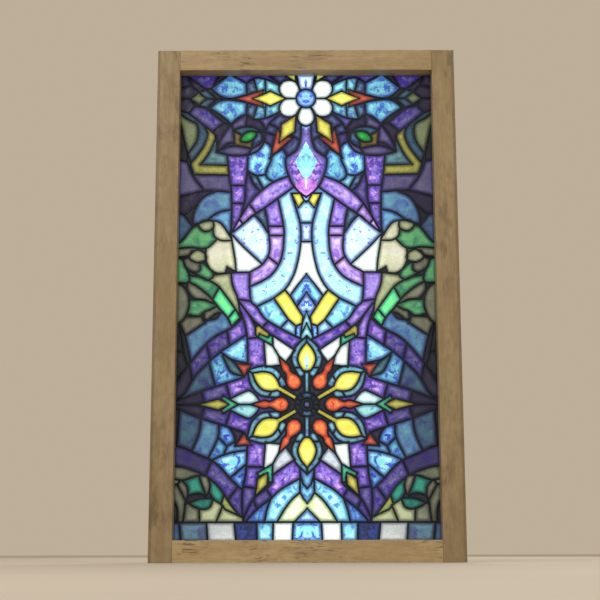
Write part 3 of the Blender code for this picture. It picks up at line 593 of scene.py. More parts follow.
def draw_green_band(c):
    upper = ((233, 560), (207, 555), (178, 540), (160, 518), (140, 490), (131, 474))
    lower = ((233, 546), (215, 536), (192, 517), (172, 492), (156, 474), (148, 457))
    c.band(["green", "green_lit", "green_lit"], upper, lower, (0.47, 0.86))
    c.lead((187, 560), (160, 564))
    c.curve((150, 564), (147, 540), (136, 511), (131, 474))
    c.glass("cream_mid", (165, 550))
    c.lead((131, 474), (148, 457))


def draw_stones_low(c):
    c.curve((236, 545), (236, 530), (222, 513), (195, 510))
    c.glass("cream_dim", (220, 524))
    c.curve((262, 543), (248, 540), (236, 525), (232, 500), (240, 475), (250, 464), (262, 458))
    c.glass("olive_dim", (248, 505))
    c.curve((232, 510), (205, 510), (180, 501))
    c.curve((234, 481), (215, 477), (202, 486), (190, 491), (176, 499))
    c.glass("green", (212, 494))
    c.curve((202, 486), (201, 471), (180, 472), (168, 486))
    c.glass("olive_dim", (188, 481))
    c.curve((240, 475), (222, 477), (208, 476), (203, 466), (201, 462))
    c.lead((250, 464), (239, 438))
    c.glass("olive_dim", (222, 460))


def draw_c_bands(c):
    inner = ((84, 700), (79, 680), (76, 655), (74, 635), (73, 615), (77, 598), (90, 580), (113, 566))
    between = ((57, 718), (50, 685), (45, 655), (45, 635), (47, 610), (54, 584), (74, 557), (113, 536))
    outer = ((30, 729), (20, 695), (12, 665), (11, 630), (15, 598), (23, 566), (34, 543), (43, 530))
    for line in (inner, between, outer):
        c.curve(*line)
    c.lead((77, 660), (45, 660))
    c.lead((75, 641), (45, 641))
    c.lead((77, 598), (56, 581))
    c.lead((113, 566), (113, 536))
    c.glass("orchid", (64, 685))
    c.glass("orchid_lit", (60, 650), (60, 610), (88, 565))
    c.glass("cyan_lit", (30, 640))


def draw_middle(c):
    c.lead((30, 729), (12, 727))
    c.lead((29, 728), (16, 699), (4, 713), (12, 727))
    c.glass("sun", (18, 715))
    c.lead((4, 713), (0, 711))
    c.lead((12, 667), (0, 667))
    c.lead((10, 628), (0, 628))
    c.glass("cyan_lit", (0, 690))
    c.glass("blue_lit", (0, 717))
    c.glass("ice", (0, 648))
    c.glass("milk", (0, 600))
    c.lead((0, 562), (18, 539), (33, 518))
    c.lead((0, 525), (13, 506), (19, 496))
    c.glass("mottle_lit", (0, 545))
    c.glass("blue_lit", (0, 500))
    c.glass("mint", (0, 470))


def draw_yellow_bar(c):
    c.loop((65, 513), (43, 530), (33, 518), (7, 476), (9, 462), (21, 457), (36, 470))
    c.glass("sun", (36, 495))
    c.lead((99, 496), (65, 513))
    c.lead((52, 453), (36, 470))
    c.glass("cyan", (72, 488))
    c.glass("cyan_lit", (38, 455))
    c.lead((21, 457), (22, 437))
    c.lead((0, 486), (9, 462), (12, 433))
    c.lead((0, 462), (6, 450), (11, 440))
    c.glass("mint", (0, 443))
    c.glass("mottle_lit", (14, 455))


def draw_violet_lower(c):
    c.lead((137, 511), (110, 507))
    c.glass("orchid", (128, 540))
    c.curve((113, 536), (110, 507), (99, 496), (84, 474), (68, 462), (52, 453), (36, 444),
            (22, 437), (9, 431))
    c.curve((137, 511), (120, 488), (103, 467), (88, 454), (72, 441), (63.6, 436))
    c.lead((88, 454), (76, 467))
    c.glass("orchid", (110, 488))
    c.glass("violet_mid", (48, 442))


def draw_columns_low(c):
    c.curve((131, 490), (122, 462), (117, 432), (116, 400), (116, 379))
    c.lead((112, 478), (101, 455), (101, 440), (95, 435))
    c.lead((101, 455), (94, 461))
    c.lead((117, 432), (95, 435))
    c.glass("orchid", (119, 471))
    c.glass("violet_lit", (110, 455), (102, 400))
    # the straight bands of the star
    upper = ((262, 332), (241, 368), (192, 428), (150, 453), (126, 474))
    lower = ((262, 308), (240, 322), (215, 363), (170, 405), (118, 440))
    c.band(["violet_dark", "violet", "violet", "violet_mid"], upper, lower, (0.30, 0.56, 0.80))
    c.lead((239, 438), (226, 386))
    c.curve((239, 438), (204, 462), (180, 482), (166, 484))
    c.glass("blue_shaded", (190, 445))


def draw_rosette(c):
    for a in SIX:
        draw_ray(c, turned(ROSETTE, a), a)
    for a in (-90, -30, 30, 90):
        draw_petal(c, turned(ROSETTE, a), a)
    for radius in (6.5, 13, 24):
        c.line(half_ring(ROSETTE, radius, 30))
    for a in (-60, -30, 0, 30, 60):
        p = turned(ROSETTE, a)
        c.lead(p(13, 0), p(24, 0))
    c.glass("slate", (0, 302))
    c.glass("teal", (48, 242))
    for a in (-75, -45, -15, 15, 45, 75):
        p = turned(ROSETTE, a)
        c.glass("teal" if abs(a) == 75 else "night", p(18, 0))


def draw_petal(c, p, a):
    tip = 123
    sides = {90: (-1, ), -90: (1, )}.get(a, (1, -1))
    for s in sides:
        c.curve(*[p(u, v * s) for u, v in ((64, 5), (74, 13), (90, 18), (107, 12.5), (tip, 0))])
        c.curve(*[p(u, v * s) for u, v in ((52, 14), (66, 22), (88, 30), (112, 23), (135, 0))])
        c.lead(p(24, 4.5 * s), p(64, 5 * s))
        c.lead(p(72, 12.5 * s), p(72, 25 * s))
        c.glass("aqua_lit" if (a, s) == (30, 1) else "aqua", p(100, 22 * s))
        c.glass("aqua", p(64, 13 * s))
        c.lead(p(52, 14 * s), p(57, 4 * s))
        c.glass("night", p(40, 10 * s))
    c.lead(p(tip, 0), p(135, 0))
    c.glass("sun", p(90, -8) if a == 90 else p(90, 0))
    if a == 90:
        c.curve(p(101, 0), p(84, -4.5), p(64, 0), seam=True)
        c.glass("mint", p(84, 0))
    if abs(a) == 90:
        c.lead(p(64, 5 * sides[0]), p(64, 0))
        c.glass("aqua", p(45, 0))
    else:
        c.glass("sun", p(45, 0))


def draw_ray(c, p, a):
    """One ray: a red bulb and spear, pale petals, a green chevron and a yellow lozenge."""
    petals = {(-60, 1): "milk", (-60, -1): "milk_mid", (0, 1): "milk_cool", (0, -1): "mint",
              (60, 1): "milk", (60, -1): "milk"}
    for s in (1, -1):
        bulb = ((34, 0), (40, 11), (54, 15), (67, 8), (74, 6), (84, 8), (110, 0))
        c.curve(*[p(u, v * s) for u, v in bulb])
        arm = 18 if (a == 60 and s == 1) else 30
        rise = 0.567 * arm
        c.lead(p(133, 0), p(133 + arm, rise * s), p(137 + arm, (rise - 6) * s), p(153, 0))
        if a == 0:
            c.curve(p(92, 6 * s), p(99, 17 * s), p(112, 27 * s), p(128, 22 * s), p(151, 10 * s))
        else:
            c.lead(p(151, 10.2 * s), p(104, 33 * s), p(93, 7.5 * s))
        if a != 60:
            tail = 215 if a == 0 else 205
            c.lead(p(160, 5.5 * s), p(173, 11 * s), p(tail, 0))
        c.glass(petals[a, s], p(118, 12 * s))
        c.glass("jade", p(148, 4.5 * s))
    c.lead(p(110, 0), p(133, 0))
    c.glass("flame", p(54, 0))
    c.glass("gold", p(173, 0) if a != 60 else (87, 446))


def draw_star_fill(c):
    for s in (1, -1):
        def z(rise):
            return ROSETTE[1] + rise * s

        # small red triangles beyond the diagonal petals
        p = turned(ROSETTE, 30 * s)
        c.loop(p(133, 14), p(133, -14), p(161, 0))
        c.glass("ember", p(143, 0))
        c.curve((262, z(4)), (205, z(27)), (158, z(42)), (122, z(54)))
        c.lead((205, z(27)), (200, z(6)))
        c.lead((158, z(42)), (150, z(13)))
        c.glass("violet", (180, z(24)))
        c.glass("violet_lit" if s == 1 else "violet_mid", (130, z(36)))
        c.glass("violet_dark", (235, z(6)))
    c.lead((215, 302), (262, 302))


def draw_fans_upper(c):
    c.curve((172, 408), (150, 392), (130, 386), (116, 384))
    c.glass("mottle_lit", (135, 408))
    c.lead((193, 388), (178, 336))
    c.glass("mottle", (175, 368))
    c.glass("teal_shaded", (222, 334))
    c.glass("blue_shaded", (196, 350))
    c.curve((166, 400), (156, 378), (146, 364), (122, 357))
    c.lead((150, 392), (139, 381))
    c.glass("teal_pale", (146, 376))
    c.glass("blue", (130, 384))


def draw_fans_lower(c):
    c.lead((250, 287), (252, 220))
    c.glass("night", (257, 250))
    c.curve((206, 275), (207, 258), (213, 235), (224, 211))
    c.glass("teal_shaded", (230, 245))
    c.curve((171, 265), (172, 240), (184, 212), (192, 197))
    c.glass("blue_shaded", (192, 235))
    c.curve((153, 259), (142, 243), (139, 222))
    c.lead((172, 238), (155, 221), (139, 230))
    c.lead((155, 221), (161, 204))
    c.glass("blue_deep", (155, 240))
    c.glass("mottle", (175, 215))
    c.glass("aqua_shaded", (147, 217))
    c.glass("violet_dark", (135, 245))
    c.curve((184, 194), (165, 203), (140, 210), (116, 213))
    c.glass("mottle_lit", (145, 190))
    c.lead((117, 187), (145, 164))
    c.glass("blue_deep", (128, 160))


def draw_arc_low(c):
    c.curve((262, 224), (240, 219), (212, 206), (184, 194), (165, 178), (148, 159), (126, 138))
    c.curve((262, 183), (240, 181), (218, 174), (197, 165), (187, 158), (170, 143), (156, 122),
            (143, 104), (126, 84))
    c.lead((184, 194), (196, 165))
    c.lead((133, 145), (152, 118))
    c.glass("violet_dusk", (230, 197))
    c.glass("violet", (165, 158), (138, 120))


def draw_columns_base(c):
    c.curve((116, 226), (117, 190), (119, 165), (124, 140), (125, 110), (123, 76))
    c.lead((117, 182), (84, 181))
    c.lead((124, 144), (102, 141))
    c.glass("violet_lit", (100, 200))
    c.glass("violet_mid", (108, 160))
    c.glass("violet", (115, 120))
    c.curve((66, 152), (78, 140), (100, 124), (112, 106), (120, 88), (123, 76))
    c.lead((14, 178), (14, 132))
    c.curve((14, 159), (32, 149), (52, 137), (70, 121), (96, 101), (112, 84), (118, 76))
    c.lead((78, 140), (68, 123))
    c.lead((104, 119), (96, 101))
    c.glass("violet_lit", (45, 155))
    c.glass("violet", (86, 122), (110, 95))


def draw_foot(c):
    c.lead((262, 76), (0, 76))
    c.lead((69, 121), (78, 98), (82, 76))
    c.glass("blue_deep", (88, 92))
    c.curve((14, 132), (30, 118), (45, 98), (58, 76))
    c.glass("cyan", (50, 115))
    c.lead((14, 132), (7, 120), (0, 112))
    c.lead((0, 102), (25, 76))
    c.glass("milk_warm", (25, 100))
    c.glass("blue_lit", (0, 85))
    c.lead((12, 168), (8, 148), (0, 140))
    c.glass("aqua_shaded", (0, 155))
    c.glass("cyan", (0, 130))
    for top, foot_x in ((245, 241), (193, 190), (140, 136), (97, 96), (65, 66), (27, 29)):
        c.lead((top, 76), (foot_x, 38))
    squares = {"teal_shaded": 251, "slate": 217, "milk_dim": 165, "ink": 115, "cyan": 80, "milk": 47,
               "mottle_lit": 0}
    for tone, x in squares.items():
        c.glass(tone, (x, 58))


def draw_garden_low(c):
    c.curve((262, 160), (240, 156), (215, 164), (197, 165))
    c.glass("olive_dim", (240, 170))
    c.curve((243, 157), (231, 144), (229, 127))
    c.curve((229, 127), (210, 131), (194, 127))
    c.curve((208, 164), (203, 148), (194, 127))
    c.glass("jade_deep", (217, 145))
    c.curve((191, 161), (187, 148), (189, 134), (194, 127))
    c.glass("cream_dim", (196, 145))
    c.curve((189, 134), (180, 120), (165, 110))
    c.lead((165, 110), (160, 128))
    c.glass("jade_deep", (176, 130))
    c.lead((165, 110), (157, 100), (130, 84))
    c.glass("lime", (152, 108))
    c.curve((229, 112), (205, 121), (181, 121))
    c.curve((229, 112), (205, 101), (188, 104), (180, 120))
    c.glass("jade_deep", (203, 112))
    c.glass("night", (210, 125))
    c.curve((229, 127), (233, 118), (235, 100), (238, 76))
    c.lead((229, 112), (234, 110))
    c.lead((207, 102), (206, 76))
    c.lead((162, 107), (175, 76))
    c.glass("cream_dim", (222, 92))
    c.glass("cream_mid", (187, 95))
    c.glass("cream_mid", (158, 88))
    c.curve((262, 150), (250, 148), (245, 156))
    c.curve((262, 128), (250, 105), (248, 76))
    c.curve((250, 148), (241, 132), (234, 118))
    c.glass("olive_dim", (255, 156), (242, 105), (236, 140))
    c.glass("night", (257, 95))


def draw_edge_strips(c):
    c.lead((250, 464), (244, 420), (240, 400), (236, 380))
    c.lead((262, 410), (242, 405))
    c.glass("night", (256, 440), (236, 420), (254, 380))


FIGURES = (draw_daisy, draw_big_petals, draw_top_left, draw_vase, draw_jewel, draw_lids,
           draw_left_field, draw_column, draw_blue_fans, draw_arch, draw_arcs_left, draw_garden,
           draw_green_band, draw_stones_low, draw_c_bands, draw_middle, draw_yellow_bar,
           draw_violet_lower, draw_columns_low, draw_rosette, draw_star_fill, draw_fans_upper,
           draw_fans_lower, draw_arc_low, draw_columns_base, draw_foot, draw_garden_low,
           draw_edge_strips)


def apart(a, b):
    """The distance between two places."""
    return hypot(a[0] - b[0], a[1] - b[1])


def nearest_on(place, a, b):
    """The point of the stretch from a to b that is nearest to a place."""
    run, rise = b[0] - a[0], b[1] - a[1]
    square = run * run + rise * rise
    t = 0.0 if square == 0 else ((place[0] - a[0]) * run + (place[1] - a[1]) * rise) / square
    t = min(1.0, max(0.0, t))
    return (a[0] + run * t, a[1] + rise * t)


def join_ends(lines):
    """Runs the open ends of the lines on to the lines that they stop at."""
    lines = [list(line) for line in lines]
    ends = []
    for number, line in enumerate(lines):
        if apart(line[0], line[-1]) < 1e-6:
            continue
        for end in (0, -1):
            if abs(line[end][0]) < AXIS_REACH:
                line[end] = (0.0, line[end][1])
            ends.append((number, end))
    for number, end in ends:
        line = lines[number]
        place = line[end]
        on_edge = place[0] >= HALF_CARTOON or not CARTOON_BOTTOM < place[1] < CARTOON_TOP
        if place[0] == 0.0 or on_edge:
            continue
        mates = [(apart(lines[j][k], place), lines[j][k], j) for j, k in ends
                 if j != number and apart(lines[j][k], place) < SAME_PLACE]
        skip = {number} | {mate[2] for mate in mates}
        meets = [nearest_on(place, a, b) for j, other in enumerate(lines) if j not in skip
                 for a, b in zip(other, other[1:])]
        meet = min(meets, key=lambda m: apart(m, place))
        before = line[1] if end == 0 else line[-2]
        reach = apart(meet, before)
        if apart(meet, place) < JOIN_REACH and reach > 0:
            more = (reach + JOIN_OVERRUN) / reach
            line[end] = tuple(q + (m - q) * more for q, m in zip(before, meet))
        elif mates:
            line[end] = min(mates)[1]
    return lines


def sides_of(loop):
    """The directed edges of a closed outline or a face."""
    return zip(loop, loop[1:] + loop[:1])


def inside(place, loops):
    """Whether a place lies inside an outline, and outside the holes given after it."""
    x, z = place
    odd = False
    for loop in loops:
        for (ax, az), (bx, bz) in sides_of(loop):
            if (az > z) != (bz > z) and x < (bx - ax) * (z - az) / (bz - az) + ax:
                odd = not odd
    return odd


def area(loop):
    """The area of a closed outline, positive when it runs counterclockwise."""
    return sum(a[0] * b[1] - b[0] * a[1] for a, b in sides_of(loop)) / 2


def chained(edges):
    """The closed loops that directed border edges make, the widest one first."""
    after = {}
    for a, b in edges:
        after.setdefault(a, []).append(b)
    loops = []
    while after:
        first = next(iter(after))
        loop = [first]
        spot = after[first].pop()
        while spot != first:
            loop.append(spot)
            spot = after[spot].pop()
        loops.append(loop)
        after = {a: ahead for a, ahead in after.items() if ahead}
    return sorted(loops, key=lambda loop: -max(x for x, _ in loop) + min(x for x, _ in loop))


def both_halves(cartoon):
    """The panel's border and both halves of the lines, each with whether it is a seam."""
    corners = [(-HALF_CARTOON, CARTOON_BOTTOM), (HALF_CARTOON, CARTOON_BOTTOM),
               (HALF_CARTOON, CARTOON_TOP), (-HALF_CARTOON, CARTOON_TOP)]
    lines = [(corners + corners[:1], False)]
    for line, seam in zip(join_ends(cartoon.lines), cartoon.seams):
        lines.append((line, seam))
        lines.append(([(-x, z) for x, z in line], seam))
    return lines


def crossed(lines):
    """The lines cut where they cross: points, triangles, all links, and the leaded ones."""
    places = []
    edges = []
    unleaded = set()
    for line, seam in lines:
        start = len(places)
        places.extend(Vector(p) for p in line)
        if seam:
            unleaded.update(range(len(edges), len(edges) + len(line) - 1))
        edges.extend((start + i, start + i + 1) for i in range(len(line) - 1))
    verts, links, faces, _, kept, _ = delaunay_2d_cdt(places, edges, [], 0, WELD, True)
    walls = {frozenset(link) for link, source in zip(links, kept) if source}
    leaded = {frozenset(link) for link, source in zip(links, kept) if set(source) - unleaded}
    return verts, faces, walls, leaded


def grouped(faces, beside, walls):
    """Triangles joined wherever no line runs between them, and each triangle's group."""
    owner = {}
    groups = []
    for start in range(len(faces)):
        if start in owner:
            continue
        owner[start] = len(groups)
        group = [start]
        for number in group:
            for a, b in sides_of(faces[number]):
                link = frozenset((a, b))
                for other in beside[link]:
                    if link not in walls and other not in owner:
                        owner[other] = len(groups)
                        group.append(other)
        groups.append(group)
    return groups, owner


def on_panel(place, margin=0.0):
    """Whether a place of the cartoon lies on the panel, or within a margin of it."""
    return (abs(place.x) < HALF_CARTOON + margin
            and CARTOON_BOTTOM - margin < place.y < CARTOON_TOP + margin)


def toned(outlines, seeds):
    """The tone of each outline that one of the cartoon's coloured places lies in."""
    tones = {}
    for place, tone in seeds:
        for side in (1, -1):
            spot = (place[0] * side + 0.01, place[1] + 0.01)
            for number, loops in enumerate(outlines):
                if inside(spot, loops):
                    tones.setdefault(number, tone)
                    break
    return tones


@lru_cache(maxsize=None)
def glazed():
    """Panes as (outlines, which edges are leaded, tone), then the leads' points and ends."""
    cartoon = Cartoon()
    for draw in FIGURES:
        draw(cartoon)
    verts, faces, walls, leaded = crossed(both_halves(cartoon))
    beside = {}
    for number, face in enumerate(faces):
        for side in sides_of(face):
            beside.setdefault(frozenset(side), []).append(number)
    groups, owner = grouped(faces, beside, walls)

    def at_border(link):
        return len({owner[other] for other in beside[link]}) > 1 or len(beside[link]) == 1

    outlines = []
    for group in groups:
        middle = sum((verts[v] for v in faces[group[0]]), Vector((0, 0))) / 3
        border = [side for face in group for side in sides_of(faces[face]) if at_border(frozenset(side))]
        loops = chained([(tuple(verts[a]), tuple(verts[b])) for a, b in border])
        if on_panel(middle) and abs(sum(area(loop) for loop in loops)) > SMALLEST_PANE:
            outlines.append(loops)
    tones = toned(outlines, cartoon.panes)
    under_lead = {frozenset(tuple(verts[v]) for v in link) for link in leaded}
    panes = []
    for number, loops in enumerate(outlines):
        rims = [frozenset(rim) in under_lead for loop in loops for rim in sides_of(loop)]
        panes.append(([[placed(p) for p in loop] for loop in loops], rims,
                      tones.get(number, DARK_GLASS)))
    leads = []
    for link in leaded:
        middle = sum((verts[v] for v in link), Vector((0, 0))) / 2
        if on_panel(middle, SAME_PLACE) and at_border(link):
            leads.append(link)
    used = sorted({v for link in leads for v in link})
    spot_of = {v: i for i, v in enumerate(used)}
    spots = [placed(tuple(verts[v])) for v in used]
    return panes, spots, [tuple(spot_of[v] for v in link) for link in leads]


def placed(point):
    """A cartoon point in the frame, as metres across and up."""
    return (point[0] * SCALE_X, SIGHT_BOTTOM + (point[1] - DRAWN_SIGHT_BOTTOM) * SCALE_Z)


def from_display(colour):
    """A colour as seen on a screen, turned into the linear values that shaders take."""
    return tuple(c / 12.92 if c <= 0.04045 else ((c + 0.055) / 1.055) ** 2.4 for c in colour)


def new_piece(name, verts, faces, material):
    """An object at the origin with one mesh and one material."""
    mesh = bpy.data.meshes.new(name)
    mesh.from_pydata(verts, [], faces)
    mesh.materials.append(material)
    item = bpy.data.objects.new(name, mesh)
    bpy.context.scene.collection.objects.link(item)
    return item


def new_group(name, inputs, outputs):
    """An empty shader group with sockets given as (name, type, default)."""
    tree = bpy.data.node_groups.new(name, "ShaderNodeTree")
    for label, kind, default in inputs:
        socket = tree.interface.new_socket(label, in_out="INPUT", socket_type=kind)
        if default is not None:
            socket.default_value = default
    for label, kind in outputs:
        tree.interface.new_socket(label, in_out="OUTPUT", socket_type=kind)
    return tree, Wiring(tree)


class Wiring:
    """Short ways to add and join nodes in one tree."""

    def __init__(self, tree):
        self.tree = tree

    def add(self, kind, values=(), **settings):
        """A new node with its settings, its inputs set or joined to other nodes."""
        node = self.tree.nodes.new(kind)
        for key, value in settings.items():
            setattr(node, key, value)
        for key, value in dict(values).items():
            self.feed(node.inputs[key], value)
        return node

    def feed(self, socket, value):
        if isinstance(value, bpy.types.NodeSocket):
            self.tree.links.new(value, socket)
        else:
            socket.default_value = value

    def math(self, operation, *values, clamp=False):
        node = self.add("ShaderNodeMath", enumerate(values), operation=operation, use_clamp=clamp)
        return node.outputs[0]

    def ramp(self, value, low, high, start=0.0, end=1.0):
        """A smooth step of a value from one number to another."""
        node = self.add("ShaderNodeMapRange", interpolation_type="SMOOTHSTEP", values={
            "Value": value, "From Min": low, "From Max": high, "To Min": start, "To Max": end})
        return node.outputs["Result"]

    def mix(self, factor, one, other, blend="MIX"):
        node = self.add("ShaderNodeMix", data_type="RGBA", blend_type=blend, clamp_factor=True)
        self.feed(node.inputs[0], factor)
        self.feed(node.inputs[6], one)
        self.feed(node.inputs[7], other)
        return node.outputs[2]

    def noise(self, vector, scale, detail=4.0, roughness=0.55, distortion=0.0):
        node = self.add("ShaderNodeTexNoise", values={
            "Vector": vector, "Scale": scale, "Detail": detail, "Roughness": roughness,
            "Distortion": distortion})
        return node.outputs["Fac"]


def clouded_glass_group():
    """Glass with clouds and bright spots, darkened with painted shade by the leads, mirrored about the
    axis.
    """
    made = bpy.data.node_groups.get("clouded glass")
    if made:
        return made
    tree, w = new_group("clouded glass", (
        ("Cloud Scale", "NodeSocketFloat", 50.0), ("Cloud Share", "NodeSocketFloat", 0.4),
        ("Cloud Softness", "NodeSocketFloat", 0.1), ("Spots", "NodeSocketFloat", 0.3),
        ("Rim Start", "NodeSocketFloat", 1.5), ("Rim End", "NodeSocketFloat", 7.5),
        ("Rim Light", "NodeSocketFloat", 0.1), ("Haze", "NodeSocketFloat", 0.4),
        ("Side Light", "NodeSocketFloat", 0.7),
    ), (("Color", "NodeSocketColor"), ("Roughness", "NodeSocketFloat"), ("Height", "NodeSocketFloat")))
    group_in = w.add("NodeGroupInput").outputs
    place = w.add("ShaderNodeTexCoord").outputs["Object"]
    parts = w.add("ShaderNodeSeparateXYZ", {"Vector": place}).outputs
    # Both halves fold onto one, and every pane takes its own stretch of the noise
    variant = w.add("ShaderNodeAttribute", attribute_name="pane_seed").outputs["Fac"]
    folded = w.add("ShaderNodeCombineXYZ", {
        "X": w.math("ABSOLUTE", parts["X"]), "Y": variant, "Z": parts["Z"]}).outputs["Vector"]
    body = w.add("ShaderNodeAttribute", attribute_name="body_tone").outputs["Color"]
    cloud = w.add("ShaderNodeAttribute", attribute_name="cloud_tone").outputs["Color"]
    spot = w.add("ShaderNodeAttribute", attribute_name="spot_tone").outputs["Color"]
    rim = w.add("ShaderNodeAttribute", attribute_name="rim_distance").outputs["Fac"]
    # Clouds, which also gather near the leads
    large = w.noise(folded, group_in["Cloud Scale"], 6.0, 0.66, 0.5)
    threshold = w.math("SUBTRACT", 0.66, w.math("MULTIPLY", group_in["Cloud Share"], 0.32))
    soft_low = w.math("SUBTRACT", threshold, group_in["Cloud Softness"])
    soft_high = w.math("ADD", threshold, group_in["Cloud Softness"])
    clouds = w.ramp(large, soft_low, soft_high)
    uneven = w.math("MULTIPLY", w.math("SUBTRACT", w.noise(folded, 130.0, 3.0), 0.5), 3.4)
    reach = w.math("ADD", rim, uneven)
    near_rim = w.ramp(reach, 3.0, w.math("MULTIPLY", group_in["Rim End"], 1.25), 1.0, 0.0)
    clouds = w.math("MAXIMUM", clouds, w.math("MULTIPLY", near_rim, group_in["Haze"]))
    # Bright spots, fewer near the leads
    fine_scale = w.math("MULTIPLY", group_in["Cloud Scale"], 1.35)
    spots = w.ramp(w.noise(folded, fine_scale, 4.0, 0.6, 0.2), 0.46, 0.62)
    spots = w.math("MULTIPLY", spots, w.ramp(rim, 3.0, 10.0, 0.3, 1.0))
    colour = w.mix(w.math("MULTIPLY", spots, group_in["Spots"]), body, spot)
    colour = w.mix(clouds, colour, cloud)
    # The light: fine grain and a broad wash in the glass, painted shade on the rims by the leads, painted
    # shade at the sides and painted light in the middle
    grain = w.noise(folded, 420.0, 3.0, 0.6)
    wash = w.noise(folded, 24.0, 3.0, 0.5)
    light = w.math("MULTIPLY", w.ramp(grain, 0.30, 0.70, 0.90, 1.06),
                   w.ramp(wash, 0.25, 0.75, 0.88, 1.08))
    # Painted shade on each pane's rim, darkest beside the lead
    painted_rim_shade = w.ramp(reach, group_in["Rim Start"], group_in["Rim End"], group_in["Rim Light"], 1.0)
    light = w.math("MULTIPLY", light, painted_rim_shade)
    # Painted shade towards the panel's sides and painted light on its axis
    across = w.math("ABSOLUTE", parts["X"])
    light = w.math("MULTIPLY", light, w.ramp(across, *SIDE_FADE, 1.0, group_in["Side Light"]))
    light = w.math("MULTIPLY", light, w.ramp(across, 0.0, MIDDLE_REACH, MIDDLE_LIGHT, 1.0))
    grey = w.add("ShaderNodeCombineColor", {0: light, 1: light, 2: light}).outputs[0]
    colour = w.mix(1.0, colour, grey, "MULTIPLY")
    # The surface: low ripples and small seeds
    ripple = w.noise(folded, 55.0, 2.0, 0.45)
    seeds = w.noise(folded, 700.0, 1.0, 0.4)
    height = w.math("ADD", ripple, w.math("MULTIPLY", seeds, 0.12))
    w.add("NodeGroupOutput", {"Color": colour, "Roughness": w.ramp(grain, 0.2, 0.8, 0.16, 0.34),
                              "Height": height})
    return tree


def glass_material(name, clouds, settings):
    """One sheet's glass: it glows by emission, painted light in place of the light behind it, and shines in
    front.
    """
    size, share, softness, spots = clouds
    material = bpy.data.materials.new(name)
    material.use_nodes = True
    w = Wiring(material.node_tree)
    shader = material.node_tree.nodes["Principled BSDF"]
    group = w.add("ShaderNodeGroup", node_tree=clouded_glass_group())
    for key, value in (("Cloud Scale", 1.0 / size), ("Cloud Share", share),
                       ("Cloud Softness", softness), ("Spots", spots),
                       ("Rim Start", settings.rim_start * 1000), ("Rim End", settings.rim_end * 1000),
                       ("Rim Light", settings.rim_light), ("Haze", settings.haze),
                       ("Side Light", settings.side_light)):
        group.inputs[key].default_value = value
    body = w.mix(1.0, group.outputs["Color"], (ROOM_LIGHT, ROOM_LIGHT, ROOM_LIGHT, 1.0), "MULTIPLY")
    w.feed(shader.inputs["Base Color"], body)
    # Emission: painted glow in place of the light that would come through from behind
    w.feed(shader.inputs["Emission Color"], group.outputs["Color"])
    shader.inputs["Emission Strength"].default_value = settings.glow
    w.feed(shader.inputs["Roughness"], group.outputs["Roughness"])
    bump = w.add("ShaderNodeBump", {"Height": group.outputs["Height"], "Strength": 0.35,
                                    "Distance": 0.0006})
    w.feed(shader.inputs["Normal"], bump.outputs["Normal"])
    shader.inputs["IOR"].default_value = 1.5
    return material


def lead_material():
    """Dull blue-black lead with small paler specks; its blue is partly the lead's own and partly painted
    glow from the glass.
    """
    made = bpy.data.materials.get("weathered lead")
    if made:
        return made
    material = bpy.data.materials.new("weathered lead")
    material.use_nodes = True
    w = Wiring(material.node_tree)
    shader = material.node_tree.nodes["Principled BSDF"]
    place = w.add("ShaderNodeTexCoord").outputs["Object"]
    broad = w.noise(place, 38.0, 4.0, 0.6)
    fine = w.noise(place, 520.0, 3.0, 0.6)
    # The blue in these colours is partly painted glow thrown on the lead by the glass
    colour = w.mix(w.ramp(broad, 0.35, 0.7), (0.007, 0.013, 0.024, 1.0), (0.019, 0.029, 0.047, 1.0))
    colour = w.mix(w.ramp(fine, 0.58, 0.78, 0.0, 0.4), colour, (0.045, 0.050, 0.058, 1.0))
    w.feed(shader.inputs["Base Color"], colour)
    shader.inputs["Metallic"].default_value = 0.2
    shader.inputs["Specular IOR Level"].default_value = 0.3
    w.feed(shader.inputs["Roughness"], w.ramp(fine, 0.3, 0.7, 0.42, 0.62))
    bump = w.add("ShaderNodeBump", {"Height": fine, "Strength": 0.4, "Distance": 0.0003})
    w.feed(shader.inputs["Normal"], bump.outputs["Normal"])
    return material


